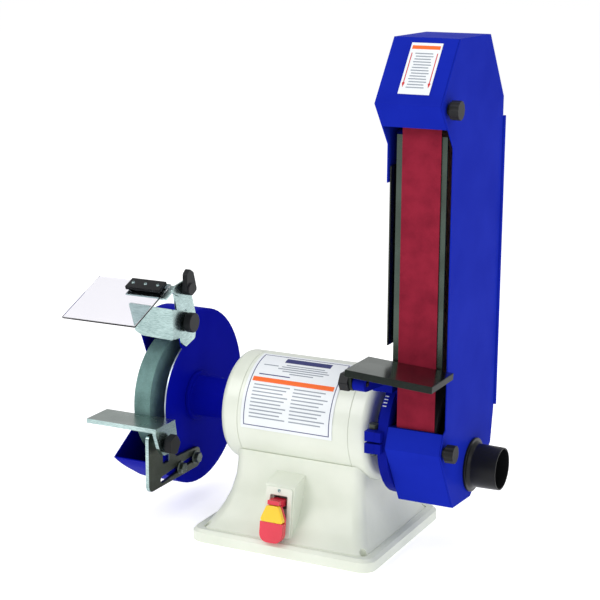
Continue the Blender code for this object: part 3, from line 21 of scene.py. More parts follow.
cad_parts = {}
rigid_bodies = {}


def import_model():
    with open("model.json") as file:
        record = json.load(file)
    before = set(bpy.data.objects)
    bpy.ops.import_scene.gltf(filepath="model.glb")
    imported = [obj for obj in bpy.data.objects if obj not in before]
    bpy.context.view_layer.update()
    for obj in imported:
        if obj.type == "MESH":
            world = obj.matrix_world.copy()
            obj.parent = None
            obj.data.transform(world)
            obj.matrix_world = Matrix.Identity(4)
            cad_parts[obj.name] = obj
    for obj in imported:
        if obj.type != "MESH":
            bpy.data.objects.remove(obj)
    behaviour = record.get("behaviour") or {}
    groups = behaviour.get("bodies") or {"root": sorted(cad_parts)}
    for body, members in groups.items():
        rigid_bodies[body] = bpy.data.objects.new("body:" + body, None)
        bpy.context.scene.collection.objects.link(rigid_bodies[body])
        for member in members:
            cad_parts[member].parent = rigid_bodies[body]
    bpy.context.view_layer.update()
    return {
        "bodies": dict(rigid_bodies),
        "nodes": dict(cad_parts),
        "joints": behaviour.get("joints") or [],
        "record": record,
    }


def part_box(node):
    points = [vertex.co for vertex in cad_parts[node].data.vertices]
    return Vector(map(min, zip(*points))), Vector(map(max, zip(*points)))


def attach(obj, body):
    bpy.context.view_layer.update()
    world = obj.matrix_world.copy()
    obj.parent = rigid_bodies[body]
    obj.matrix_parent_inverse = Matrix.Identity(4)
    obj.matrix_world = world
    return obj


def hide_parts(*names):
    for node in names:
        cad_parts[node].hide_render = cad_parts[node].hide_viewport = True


LOG = logging.getLogger("grinder")
SPINDLE_Z = 0.164
SOFT_EDGE = 32.0
Colour = tuple[float, float, float]
Pair = tuple[float, float]
Triple = tuple[float, float, float]


def shade(red: int, green: int, blue: int) -> Colour:
    """A linear colour from three display values.

    Args:
        red: Display red, 0 to 255.
        green: Display green, 0 to 255.
        blue: Display blue, 0 to 255.

    Returns:
        The three linear values that a shader takes.
    """
    made = []
    for value in (red, green, blue):
        share = value / 255
        made.append(share / 12.92 if share <= 0.04045 else ((share + 0.055) / 1.055) ** 2.4)
    return made[0], made[1], made[2]


class Skin(Enum):
    """How a surface is finished, which chooses the nodes it gets."""

    ENAMEL = "enamel"
    DRAWN = "drawn"
    GRIT = "grit"
    MOULDED = "moulded"
    CLEAR = "clear"
    PRINTED = "printed"


@dataclass(frozen=True)
class Finish:
    """One paint, plating or moulding, with the numbers that its shader takes."""

    name: str
    skin: Skin
    colour: Colour
    second: Colour
    roughness: float
    metallic: float = 0.0
    coat: float = 0.0
    grain: float = 400.0
    depth: float = 0.00004
    dust: float = 0.0
    stretch: Triple = (1.0, 1.0, 1.0)
    specular: float = 0.5


BLUE = Finish("blue_enamel", Skin.ENAMEL, shade(24, 42, 172), shade(18, 32, 152), 0.36,
              grain=520, dust=0.002, specular=0.004)
GUARD_BLUE = Finish("guard_enamel", Skin.ENAMEL, shade(8, 16, 158), shade(5, 10, 136), 0.40,
                    grain=520, dust=0.002, specular=0.004)
# A darker copy of the blue enamel for the arm casting: painted shade of the casting's shadowed place; the
# coarser grain is its own.
SHADED_CAST_BLUE = Finish("casting_enamel_shaded", Skin.ENAMEL, shade(14, 26, 150), shade(6, 12, 100), 0.40,
                   grain=240, depth=0.00012, dust=0.003, specular=0.02)
CREAM = Finish("cream_enamel", Skin.ENAMEL, shade(232, 237, 224), shade(214, 220, 204), 0.34, coat=0.3,
               grain=300, depth=0.00006)
CREAM_CAST = Finish("cream_casting", Skin.ENAMEL, shade(230, 235, 221), shade(206, 213, 196), 0.42, coat=0.2,
                    grain=170, depth=0.00016)
ZINC = Finish("zinc_plate", Skin.DRAWN, shade(188, 210, 208), shade(112, 138, 136), 0.22, metallic=1.0,
              grain=160, depth=0.00001, stretch=(1, 1, 6))
DARK_ZINC = Finish("dark_zinc", Skin.DRAWN, shade(120, 130, 124), shade(58, 66, 62), 0.26, metallic=1.0,
                   grain=300, depth=0.00001)
PLATEN = Finish("platen_steel", Skin.DRAWN, shade(80, 92, 84), shade(52, 62, 55), 0.25, metallic=0.8,
                grain=500, depth=0.00001, stretch=(1, 1, 8), specular=0.3)
# Pale metal for the guard's cut edge: a painted highlight of the edge catching light.
CUT_EDGE_HIGHLIGHT = Finish("cut_edge_highlight", Skin.DRAWN, shade(196, 206, 214), shade(150, 162, 176), 0.3, metallic=0.6,
                  grain=500, depth=0.00001)
GROUND = Finish("ground_steel", Skin.DRAWN, shade(196, 206, 202), shade(140, 152, 148), 0.28, metallic=1.0,
                grain=700, depth=0.00002, stretch=(1, 14, 1))
OXIDE = Finish("black_oxide", Skin.DRAWN, shade(84, 90, 80), shade(40, 44, 38), 0.34, metallic=0.85,
               grain=300, depth=0.00002, stretch=(1, 3, 3))
TABLE_TOP = Finish("table_top", Skin.DRAWN, shade(150, 156, 152), shade(96, 104, 100), 0.20, metallic=1.0,
                   grain=500, depth=0.00001, stretch=(10, 1, 1))
TABLE_EDGE = Finish("table_edge", Skin.DRAWN, shade(30, 38, 33), shade(16, 20, 17), 0.42, metallic=0.3,
                    grain=400, specular=0.2)
CORE = Finish("lamination_steel", Skin.DRAWN, shade(120, 118, 114), shade(70, 68, 66), 0.5, metallic=0.8,
              grain=900, stretch=(12, 1, 1))
STONE = Finish("vitrified_stone", Skin.GRIT, shade(128, 166, 162), shade(70, 100, 96), 0.9,
               grain=1500, depth=0.00022)
CLOTH = Finish("belt_grit", Skin.GRIT, shade(158, 34, 58), shade(104, 16, 36), 0.85,
               grain=2600, depth=0.00012, specular=0.15)
CLOTH_BACK = Finish("belt_backing", Skin.GRIT, shade(150, 104, 84), shade(112, 74, 60), 0.85,
                    grain=1200, depth=0.00006)
BLACK = Finish("black_plastic", Skin.MOULDED, shade(26, 27, 30), shade(14, 15, 17), 0.40,
               grain=900, depth=0.00003, dust=0.008, specular=0.2)
PORT_BLACK = Finish("port_plastic", Skin.MOULDED, shade(20, 21, 23), shade(10, 11, 13), 0.34,
                    grain=700, depth=0.00003, dust=0.006, specular=0.22)
RUBBER = Finish("drum_rubber", Skin.MOULDED, shade(34, 34, 36), shade(20, 20, 22), 0.7,
                grain=700, depth=0.00008)
# Grey-green plastic for the switch body, a darker cream: partly the body's own plastic, partly painted shade
# of the recess it sits in.
SWITCH_SHADE_GREY = Finish("switch_grey_shaded", Skin.MOULDED, shade(188, 194, 182), shade(158, 166, 154), 0.42,
              grain=600, depth=0.00003)
RED = Finish("paddle_red", Skin.MOULDED, shade(226, 30, 62), shade(196, 16, 44), 0.22, coat=0.5,
             grain=300, depth=0.00001)
YELLOW = Finish("key_yellow", Skin.MOULDED, shade(252, 206, 30), shade(236, 180, 12), 0.28, coat=0.3,
                grain=300, depth=0.00001)
LENS = Finish("clear_sheet", Skin.CLEAR, (0.77, 0.76, 0.80), (0.73, 0.72, 0.77), 0.05, grain=60)
PAPER = Finish("label_film", Skin.PRINTED, shade(240, 244, 246), shade(228, 233, 238), 0.34, grain=400)
INK_BLUE = Finish("ink_blue", Skin.PRINTED, shade(28, 38, 110), shade(22, 30, 96), 0.4, grain=400)
INK_GREY = Finish("ink_grey", Skin.PRINTED, shade(150, 158, 168), shade(136, 144, 156), 0.4, grain=400)
INK_ORANGE = Finish("ink_orange", Skin.PRINTED, shade(250, 106, 12), shade(236, 92, 6), 0.4, grain=400)
INK_RED = Finish("ink_red", Skin.PRINTED, shade(210, 38, 40), shade(190, 28, 32), 0.4, grain=400)
WHITE_MARK = Finish("mark_white", Skin.PRINTED, shade(236, 238, 240), shade(220, 222, 226), 0.45, grain=400)

SLOT_FINISH = {
    "cream": CREAM,
    "blue": BLUE,
    "dark_blue": SHADED_CAST_BLUE,
    "bright_steel": ZINC,
    "black_steel": OXIDE,
    "stone": STONE,
    "abrasive_cloth": CLOTH,
    "black_plastic": BLACK,
    "rubber": RUBBER,
    "clear": LENS,
    "grey_plastic": SWITCH_SHADE_GREY,
    "red_plastic": RED,
    "yellow_plastic": YELLOW,
    "label": PAPER,
    "core_steel": CORE,
}
NODE_FINISH = {
    "base_casting": CREAM_CAST,
    "guard_shell": GUARD_BLUE,
    "guard_cover": GUARD_BLUE,
    "guard_hub": GUARD_BLUE,
    "tool_rest": GROUND,
    "rest_bolt_front": DARK_ZINC,
    "rest_bolt_rear": DARK_ZINC,
    "platen": PLATEN,
    "spindle_shaft": GROUND,
    "dust_port": PORT_BLACK,
}


# ---------------------------------------------------------------- shader groups

def start_tree(name: str, kind: str, inputs: Sequence[tuple[str, str, object]],
               outputs: Sequence[tuple[str, str]]) -> tuple:
    """Starts a node group with its sockets.

    Args:
        name: The group's name.
        kind: The type of tree.
        inputs: (name, socket type, default) of each input.
        outputs: (name, socket type) of each output.

    Returns:
        The tree, its input node and its output node.
    """
    tree = bpy.data.node_groups.new(name, kind)
    for label, socket, default in inputs:
        made = tree.interface.new_socket(name=label, in_out="INPUT", socket_type=socket)
        if default is not None:
            made.default_value = default
    for label, socket in outputs:
        tree.interface.new_socket(name=label, in_out="OUTPUT", socket_type=socket)
    return tree, tree.nodes.new("NodeGroupInput"), tree.nodes.new("NodeGroupOutput")


@dataclass
class PaintShop:
    """Builds the shared shader groups once, then one material for each finish."""

    groups: dict[str, bpy.types.NodeTree] = field(default_factory=dict)
    materials: dict[str, bpy.types.Material] = field(default_factory=dict)

    @staticmethod
    def noise(tree: bpy.types.NodeTree, vector, scale, detail: float = 3.0) -> bpy.types.Node:
        """A noise texture on the given coordinates.

        Args:
            tree: Where it goes.
            vector: The socket with its coordinates.
            scale: A number, or the socket that gives it.
            detail: How many octaves it has.

        Returns:
            The texture node.
        """
        node = tree.nodes.new("ShaderNodeTexNoise")
        node.inputs["Detail"].default_value = detail
        tree.links.new(vector, node.inputs["Vector"])
        if isinstance(scale, (int, float)):
            node.inputs["Scale"].default_value = scale
        else:
            tree.links.new(scale, node.inputs["Scale"])
        return node

    @staticmethod
    def remap(tree: bpy.types.NodeTree, value, low, high, start: float = 0.3, end: float = 0.7):
        """Spreads a noise between two values.

        Args:
            tree: Where it goes.
            value: The socket to spread.
            low: The value at the start, a number or a socket.
            high: The value at the end, a number or a socket.
            start: Where the spread starts.
            end: Where it ends.

        Returns:
            The result's socket.
        """
        node = tree.nodes.new("ShaderNodeMapRange")
        node.inputs["From Min"].default_value = start
        node.inputs["From Max"].default_value = end
        tree.links.new(value, node.inputs["Value"])
        for label, amount in (("To Min", low), ("To Max", high)):
            if isinstance(amount, (int, float)):
                node.inputs[label].default_value = amount
            else:
                tree.links.new(amount, node.inputs[label])
        return node.outputs["Result"]

    @staticmethod
    def maths(tree: bpy.types.NodeTree, operation: str, first, second):
        """One sum on two sockets or numbers, and the result's socket."""
        node = tree.nodes.new("ShaderNodeMath")
        node.operation = operation
        for index, value in enumerate((first, second)):
            if isinstance(value, (int, float)):
                node.inputs[index].default_value = value
            else:
                tree.links.new(value, node.inputs[index])
        return node.outputs[0]

    @staticmethod
    def mix(tree: bpy.types.NodeTree, share, first, second):
        """A colour mix of two sockets, and the result's socket."""
        node = tree.nodes.new("ShaderNodeMix")
        node.data_type = "RGBA"
        tree.links.new(share, node.inputs[0])
        tree.links.new(first, node.inputs[6])
        tree.links.new(second, node.inputs[7])
        return node.outputs[2]

    def build_dust(self) -> None:
        """A thin pale film that lies on faces looking up, in patches."""
        tree, start, end = start_tree(
            "dust_film", "ShaderNodeTree",
            (("Colour", "NodeSocketColor", (0.5, 0.5, 0.5, 1)), ("Amount", "NodeSocketFloat", 0.02),
             ("Coordinates", "NodeSocketVector", (0, 0, 0))),
            (("Colour", "NodeSocketColor"), ("Mask", "NodeSocketFloat")),
        )
        shape = tree.nodes.new("ShaderNodeNewGeometry")
        split = tree.nodes.new("ShaderNodeSeparateXYZ")
        tree.links.new(shape.outputs["Normal"], split.inputs[0])
        patches = self.noise(tree, start.outputs["Coordinates"], 38.0, 4.0)
        patchy = self.remap(tree, patches.outputs["Fac"], 0.2, 1.0, 0.4, 0.62)
        upward = self.remap(tree, split.outputs["Z"], 0.15, 1.0, 0.0, 1.0)
        mask = self.maths(tree, "MULTIPLY", patchy, upward)
        mask = self.maths(tree, "MULTIPLY", mask, start.outputs["Amount"])
        film = tree.nodes.new("ShaderNodeRGB")
        film.outputs[0].default_value = (0.62, 0.60, 0.57, 1)
        tree.links.new(self.mix(tree, mask, start.outputs["Colour"], film.outputs[0]), end.inputs["Colour"])
        tree.links.new(mask, end.inputs["Mask"])
        self.groups["dust_film"] = tree

    def build_skins(self) -> None:
        """The groups that enamel, drawn metal, grit and mouldings share."""
        sockets = (
            ("Colour", "NodeSocketColor", (0.5, 0.5, 0.5, 1)),
            ("Second", "NodeSocketColor", (0.3, 0.3, 0.3, 1)),
            ("Roughness", "NodeSocketFloat", 0.4),
            ("Grain", "NodeSocketFloat", 400.0),
            ("Dust", "NodeSocketFloat", 0.0),
            ("Stretch", "NodeSocketVector", (1, 1, 1)),
        )
        outputs = (("Colour", "NodeSocketColor"), ("Roughness", "NodeSocketFloat"),
                   ("Height", "NodeSocketFloat"))
        for skin in Skin:
            tree, start, end = start_tree(skin.value + "_surface", "ShaderNodeTree", sockets, outputs)
            self.fill_skin(skin, tree, start, end)
            self.groups[skin.value] = tree

    def fill_skin(self, skin: Skin, tree: bpy.types.NodeTree, start, end) -> None:
        """The nodes inside one surface group.

        Args:
            skin: Which surface it is.
            tree: The group's tree.
            start: Its input node.
            end: Its output node.
        """
        place = tree.nodes.new("ShaderNodeTexCoord")
        spread = tree.nodes.new("ShaderNodeVectorMath")
        spread.operation = "MULTIPLY"
        tree.links.new(place.outputs["Object"], spread.inputs[0])
        tree.links.new(start.outputs["Stretch"], spread.inputs[1])
        where = spread.outputs[0]
        coarse = {Skin.GRIT: 55.0, Skin.DRAWN: 24.0}.get(skin, 14.0)
        broad = self.noise(tree, place.outputs["Object"], coarse, 3.0)
        fine = self.noise(tree, where, start.outputs["Grain"], 2.0 if skin is not Skin.DRAWN else 4.0)
        tone = self.remap(tree, broad.outputs["Fac"], 0.0, 0.55, 0.35, 0.75)
        height = fine.outputs["Fac"]
        if skin is Skin.GRIT:
            grains = tree.nodes.new("ShaderNodeTexVoronoi")
            tree.links.new(where, grains.inputs["Vector"])
            tree.links.new(start.outputs["Grain"], grains.inputs["Scale"])
            specks = self.remap(tree, grains.outputs["Distance"], 0.0, 0.75, 0.15, 0.6)
            tone = self.maths(tree, "ADD", self.maths(tree, "MULTIPLY", tone, 0.7),
                              self.maths(tree, "MULTIPLY", specks, 0.55))
            height = self.maths(tree, "SUBTRACT", 1.0, grains.outputs["Distance"])
        elif skin is Skin.DRAWN:
            streaks = self.remap(tree, fine.outputs["Fac"], 0.0, 0.5, 0.35, 0.7)
            tone = self.maths(tree, "ADD", self.maths(tree, "MULTIPLY", tone, 0.7), streaks)
        colour = self.mix(tree, tone, start.outputs["Colour"], start.outputs["Second"])
        uneven = self.remap(tree, broad.outputs["Fac"], -0.03, 0.06)
        rough = self.maths(tree, "ADD", start.outputs["Roughness"], uneven)
        film = tree.nodes.new("ShaderNodeGroup")
        film.node_tree = self.groups["dust_film"]
        tree.links.new(colour, film.inputs["Colour"])
        tree.links.new(start.outputs["Dust"], film.inputs["Amount"])
        tree.links.new(place.outputs["Object"], film.inputs["Coordinates"])
        tree.links.new(film.outputs["Colour"], end.inputs["Colour"])
        dusty = self.maths(tree, "ADD", rough, self.maths(tree, "MULTIPLY", film.outputs["Mask"], 0.5))
        tree.links.new(dusty, end.inputs["Roughness"])
        tree.links.new(height, end.inputs["Height"])

    def material(self, finish: Finish) -> bpy.types.Material:
        """The material of a finish, made the first time it is asked for.

        Args:
            finish: The finish wanted.

        Returns:
            Its material.
        """
        if finish.name in self.materials:
            return self.materials[finish.name]
        made = bpy.data.materials.new(finish.name)
        made.use_nodes = True
        tree = made.node_tree
        shader = tree.nodes["Principled BSDF"]
        skin = tree.nodes.new("ShaderNodeGroup")
        skin.node_tree = self.groups[finish.skin.value]
        skin.inputs["Colour"].default_value = (*finish.colour, 1)
        skin.inputs["Second"].default_value = (*finish.second, 1)
        skin.inputs["Roughness"].default_value = finish.roughness
        skin.inputs["Grain"].default_value = finish.grain
        skin.inputs["Dust"].default_value = finish.dust
        skin.inputs["Stretch"].default_value = finish.stretch
        bump = tree.nodes.new("ShaderNodeBump")
        bump.inputs["Strength"].default_value = 0.6
        bump.inputs["Distance"].default_value = finish.depth
        tree.links.new(skin.outputs["Colour"], shader.inputs["Base Color"])
        tree.links.new(skin.outputs["Roughness"], shader.inputs["Roughness"])
        tree.links.new(skin.outputs["Height"], bump.inputs["Height"])
        tree.links.new(bump.outputs["Normal"], shader.inputs["Normal"])
        shader.inputs["Metallic"].default_value = finish.metallic
        shader.inputs["Coat Weight"].default_value = finish.coat
        shader.inputs["Coat Roughness"].default_value = 0.12
        shader.inputs["Specular IOR Level"].default_value = finish.specular
        if finish.skin is Skin.CLEAR:
            shader.inputs["Transmission Weight"].default_value = 1.0
            shader.inputs["IOR"].default_value = 1.18
        self.materials[finish.name] = made
        return made


# ---------------------------------------------------------------- mesh work

def sharpen(work: bmesh.types.BMesh, degrees: float = SOFT_EDGE) -> None:
    """Smooths every face and marks the edges that turn more than an angle."""
    limit = math.radians(degrees)
    for face in work.faces:
        face.smooth = True
    for edge in work.edges:
        edge.smooth = len(edge.link_faces) == 2 and edge.calc_face_angle(0.0) < limit


def upper_face(face: bmesh.types.BMFace) -> int:
    """0 on a face that looks up, which is ground bright, and 1 elsewhere."""
    return 0 if face.normal.z > 0.9 else 1


def mesh_from(name: str, work: bmesh.types.BMesh) -> bpy.types.Mesh:
    """A mesh of the given name from a working mesh, which is freed."""
    mesh = bpy.data.meshes.new(name)
    work.to_mesh(mesh)
    work.free()
    return mesh


def lathe(profile: Sequence[Pair], centre: Triple, steps: int = 128) -> bmesh.types.BMesh:
    """A ring turned about a line along X, from a closed section.

    Args:
        profile: (radius, distance along X) points round the section.
        centre: A point on the axis.
        steps: How many sides the turn has.

    Returns:
        A working mesh, closed, with its faces outwards.
    """
    work = bmesh.new()
    middle = Vector(centre)
    loops = []
    for step in range(steps):
        angle = math.tau * step / steps
        loops.append([
            work.verts.new(middle + Vector((a, r * math.cos(angle), r * math.sin(angle)))) for r, a in profile
        ])
    count = len(profile)
    for step in range(steps):
        first, second = loops[step], loops[(step + 1) % steps]
        for index in range(count):
            after = (index + 1) % count
            work.faces.new((first[index], second[index], second[after], first[after]))
    bmesh.ops.remove_doubles(work, verts=work.verts, dist=1e-7)
    bmesh.ops.recalc_face_normals(work, faces=work.faces)
    return work


def slab(work: bmesh.types.BMesh, corner: Callable[[float, float, float], Vector], area: tuple, index: int,
         thickness: float = 0.00012, steps: int = 1) -> None:
    """Adds one thin printed patch that follows a surface.

    Args:
        work: The working mesh that it is added to.
        corner: Gives the point at (across, up, height off the surface).
        area: (across low, across high, up low, up high).
        index: Which of the object's materials it takes.
        thickness: How far it stands off the surface.
        steps: Pieces along the way up, for a curved surface.
    """
    left, right, low, high = area
    rows = []
    for step in range(steps + 1):
        up = low + (high - low) * step / steps
        rows.append([work.verts.new(corner(side, up, off)) for side, off in
                     ((left, 0.0), (right, 0.0), (right, thickness), (left, thickness))])
    made = [work.faces.new(rows[0]), work.faces.new(list(reversed(rows[-1])))]
    for below, above in zip(rows, rows[1:]):
        for side in range(4):
            after = (side + 1) % 4
            made.append(work.faces.new((below[side], above[side], above[after], below[after])))
    bmesh.ops.recalc_face_normals(work, faces=made)
    for face in made:
        face.material_index = index


@dataclass
class Workbench:
    """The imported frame, the paint shop, and the moves that every sub-assembly uses."""

    frame: dict
    paint: PaintShop
    body_of: dict[str, str] = field(default_factory=dict)
    slot_of: dict[str, str] = field(default_factory=dict)
    done: set[str] = field(default_factory=set)

    def __post_init__(self) -> None:
        """Reads which body and which slot each node has."""
        record = self.frame["record"]
        for body, nodes in record["behaviour"]["bodies"].items():
            for node in nodes:
                self.body_of[node] = body
        for entry in record["subparts"]:
            self.slot_of[entry["node"]] = entry["material_slot"]

    def add(self, name: str, mesh: bpy.types.Mesh, finishes: Sequence[Finish], body: str,
            stands_for: Iterable[str] = (), slot: str | None = None) -> bpy.types.Object:
        """Puts a finished mesh in the scene.

        Args:
            name: The piece's name.
            mesh: Its mesh, already in place.
            finishes: Its finishes, in the order of its material slots, or none to keep its own.
            body: The body that it rides on.
            stands_for: The nodes that it replaces.
            slot: The record's slot; not used.

        Returns:
            The new object.
        """
        made = bpy.data.objects.new(name, mesh)
        bpy.context.scene.collection.objects.link(made)
        if finishes:
            chosen = [polygon.material_index for polygon in mesh.polygons]
            mesh.materials.clear()
            for finish in finishes:
                mesh.materials.append(self.paint.material(finish))
            mesh.polygons.foreach_set("material_index", chosen)
        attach(made, body)
        nodes = list(stands_for)
        if nodes:
            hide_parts(*nodes)
            self.done.update(nodes)
        LOG.info("%s: %d faces on %s", name, len(mesh.polygons), body)
        return made

    def softened(self, mesh: bpy.types.Mesh, width: float, segments: int = 2) -> bpy.types.Mesh:
        """The mesh with its edges rounded and its shading weighted by face size.

        Args:
            mesh: A closed mesh in place.
            width: The edge rounding.
            segments: How many faces round each edge.

        Returns:
            A new mesh.
        """
        holder = bpy.data.objects.new("soften", mesh)
        bpy.context.scene.collection.objects.link(holder)
        if width > 0:
            bevel = holder.modifiers.new("edges", "BEVEL")
            bevel.width = width
            bevel.segments = segments
            bevel.limit_method = "ANGLE"
            bevel.angle_limit = math.radians(SOFT_EDGE)
            bevel.use_clamp_overlap = True
        weigh = holder.modifiers.new("weigh", "WEIGHTED_NORMAL")
        weigh.keep_sharp = True
        graph = bpy.context.evaluated_depsgraph_get()
        made = bpy.data.meshes.new_from_object(holder.evaluated_get(graph), depsgraph=graph)
        bpy.data.objects.remove(holder)
        return made

    def merged(self, node: str) -> bmesh.types.BMesh:
        """A working copy of a node with its loose triangles joined into flat faces."""
        work = bmesh.new()
        work.from_mesh(self.frame["nodes"][node].data)
        bmesh.ops.remove_doubles(work, verts=work.verts, dist=3e-6)
        bmesh.ops.dissolve_limit(work, angle_limit=math.radians(0.5), verts=work.verts, edges=work.edges)
        sharpen(work)
        return work

    def refine(self, node: str, width: float = 0.0003, finishes: Sequence[Finish] = (),
               choose: Callable[[bmesh.types.BMFace], int] | None = None) -> bpy.types.Object:
        """Replaces a node with a softened copy of itself.

        Args:
            node: The node's name.
            width: The edge rounding.
            finishes: Its finishes, or none for the usual one of its slot.
            choose: Which finish each face takes, or none for the first.

        Returns:
            The new object.
        """
        work = self.merged(node)
        for face in work.faces:
            face.material_index = choose(face) if choose else 0
        mesh = self.softened(mesh_from(node + "_mesh", work), width)
        slot = self.slot_of[node]
        chosen = list(finishes) or [NODE_FINISH.get(node, SLOT_FINISH[slot])]
        return self.add(node + "_finished", mesh, chosen, self.body_of[node], (node,), slot)

    def refine_each(self, widths: dict[str, float]) -> None:
        """Refines several nodes, each with its own edge rounding."""
        for node, width in widths.items():
            self.refine(node, width)

    def turned(self, node: str, profile: Sequence[Pair], centre: Triple, finish: Finish | None = None,
               width: float = 0.0004, steps: int = 128) -> bpy.types.Object:
        """Replaces a round node with one turned much finer.

        Args:
            node: The node's name.
            profile: (radius, distance along X) round its section.
            centre: A point on the axis.
            finish: Its finish, or none for the usual one.
            width: The edge rounding.
            steps: How many sides the turn has.

        Returns:
            The new object.
        """
        work = lathe(profile, centre, steps)
        sharpen(work)
        mesh = self.softened(mesh_from(node + "_mesh", work), width)
        slot = self.slot_of[node]
        chosen = finish or NODE_FINISH.get(node, SLOT_FINISH[slot])
        return self.add(node + "_turned", mesh, [chosen], self.body_of[node], (node,), slot)


# ---------------------------------------------------------------- repeated pieces

class Repeats:
    """Geometry Nodes trees for what repeats: fasteners and degree marks."""

    shape = ("Geometry", "NodeSocketGeometry", None)

    def __init__(self, bench: Workbench) -> None:
        """Keeps the bench and builds the two trees."""
        self.bench = bench
        self.fasteners = self.fastener_tree()
        self.marks = self.mark_tree()

    def fastener_tree(self) -> bpy.types.NodeTree:
        """Domed heads with a black prism in the drive recess, painted shade of the hole, one at each point of
        the input mesh.
        """
        tree, start, end = start_tree("fastener_heads", "GeometryNodeTree", (
            self.shape, ("Head Radius", "NodeSocketFloat", 0.003), ("Head Height", "NodeSocketFloat", 0.0016),
            ("Recess Radius", "NodeSocketFloat", 0.0012), ("Rotation", "NodeSocketVector", (0, 0, 0)),
            ("Head Material", "NodeSocketMaterial", None), ("Recess Shade Material", "NodeSocketMaterial", None)),
            (self.shape[:2],))
        link = tree.links.new

        def frustum(radius, height, top_share: float, sides: int, finish):
            cone = tree.nodes.new("GeometryNodeMeshCone")
            cone.inputs["Vertices"].default_value = sides
            link(PaintShop.maths(tree, "MULTIPLY", radius, top_share), cone.inputs["Radius Top"])
            link(radius, cone.inputs["Radius Bottom"])
            link(height, cone.inputs["Depth"])
            paint = tree.nodes.new("GeometryNodeSetMaterial")
            link(cone.outputs["Mesh"], paint.inputs["Geometry"])
            link(finish, paint.inputs["Material"])
            return paint.outputs["Geometry"]

        taller = PaintShop.maths(tree, "MULTIPLY", start.outputs["Head Height"], 1.04)
        join = tree.nodes.new("GeometryNodeJoinGeometry")
        link(frustum(start.outputs["Head Radius"], start.outputs["Head Height"], 0.72, 20,
                     start.outputs["Head Material"]), join.inputs[0])
        # The black prism in the drive recess is painted shade of the hole.
        link(frustum(start.outputs["Recess Radius"], taller, 1.0, 6,
                     start.outputs["Recess Shade Material"]), join.inputs[0])
        spread = tree.nodes.new("GeometryNodeInstanceOnPoints")
        link(start.outputs["Geometry"], spread.inputs["Points"])
        link(join.outputs[0], spread.inputs["Instance"])
        link(start.outputs["Rotation"], spread.inputs["Rotation"])
        real = tree.nodes.new("GeometryNodeRealizeInstances")
        link(spread.outputs[0], real.inputs[0])
        link(real.outputs[0], end.inputs[0])
        return tree

    def mark_tree(self) -> bpy.types.NodeTree:
        """Thin white strokes, one at each point of the input mesh, turned as the points' angles say."""
        tree, start, end = start_tree("degree_marks", "GeometryNodeTree", (
            self.shape, ("Length", "NodeSocketFloat", 0.006), ("Width", "NodeSocketFloat", 0.0008),
            ("Height", "NodeSocketFloat", 0.0003), ("Mark Material", "NodeSocketMaterial", None)),
            (self.shape[:2],))
        link = tree.links.new
        size = tree.nodes.new("ShaderNodeCombineXYZ")
        link(start.outputs["Length"], size.inputs[0])
        link(start.outputs["Width"], size.inputs[1])
        link(start.outputs["Height"], size.inputs[2])
        stroke = tree.nodes.new("GeometryNodeMeshCube")
        link(size.outputs[0], stroke.inputs["Size"])
        angles = tree.nodes.new("GeometryNodeInputNamedAttribute")
        angles.data_type = "FLOAT_VECTOR"
        angles.inputs["Name"].default_value = "turn"
        spread = tree.nodes.new("GeometryNodeInstanceOnPoints")
        link(start.outputs["Geometry"], spread.inputs["Points"])
        link(stroke.outputs["Mesh"], spread.inputs["Instance"])
        link(angles.outputs["Attribute"], spread.inputs["Rotation"])
        real = tree.nodes.new("GeometryNodeRealizeInstances")
        link(spread.outputs[0], real.inputs[0])
        paint = tree.nodes.new("GeometryNodeSetMaterial")
        link(real.outputs[0], paint.inputs["Geometry"])
        link(start.outputs["Mark Material"], paint.inputs["Material"])
        link(paint.outputs[0], end.inputs[0])
        return tree

    def run(self, name: str, points: Sequence[Triple], tree: bpy.types.NodeTree, values: dict[str, object],
            body: str, slot: str, turns: Sequence[Triple] = ()) -> bpy.types.Object:
        """Runs a tree on a set of points and keeps the plain mesh.

        Args:
            name: The new piece's name.
            points: Where the copies go.
            tree: The tree to run.
            values: Each named input's value.
            body: The body that the piece rides on.
            slot: The record's slot, passed on to the bench unused.
            turns: Each copy's rotation, where the tree reads it.

        Returns:
            The new object.
        """
        seeds = bpy.data.meshes.new(name + "_points")
        seeds.from_pydata([Vector(point) for point in points], [], [])
        if turns:
            layer = seeds.attributes.new("turn", "FLOAT_VECTOR", "POINT")
            for index, turn in enumerate(turns):
                layer.data[index].vector = turn
        holder = bpy.data.objects.new(name + "_seed", seeds)
        bpy.context.scene.collection.objects.link(holder)
        modifier = holder.modifiers.new("repeat", "NODES")
        modifier.node_group = tree
        for socket in tree.interface.items_tree:
            if socket.item_type == "SOCKET" and socket.in_out == "INPUT" and socket.name in values:
                modifier[socket.identifier] = values[socket.name]
        graph = bpy.context.evaluated_depsgraph_get()
        mesh = bpy.data.meshes.new_from_object(holder.evaluated_get(graph), depsgraph=graph)
        bpy.data.objects.remove(holder)
        return self.bench.add(name, mesh, (), body, (), slot)

    def screws(self, name: str, points: Sequence[Triple], rotation: Triple, radius: float, body: str,
               slot: str, head: Finish = ZINC, height: float = 0.0016) -> bpy.types.Object:
        """Screw or rivet heads at the given points.

        Args:
            name: The new piece's name.
            points: The middle of each head's seat.
            rotation: The turn from +Z to the way the heads look.
            radius: The head's radius.
            body: The body that they ride on.
            slot: The record's slot, passed on unused.
            head: The head's finish.
            height: The head's height.

        Returns:
            The new object.
        """
        paint = self.bench.paint
        return self.run(name, points, self.fasteners, {
            "Head Radius": radius,
            "Head Height": height,
            "Recess Radius": radius * 0.4,
            "Rotation": rotation,
            "Head Material": paint.material(head),
            "Recess Shade Material": paint.material(BLACK),
        }, body, slot)


# ---------------------------------------------------------------- sub-assemblies

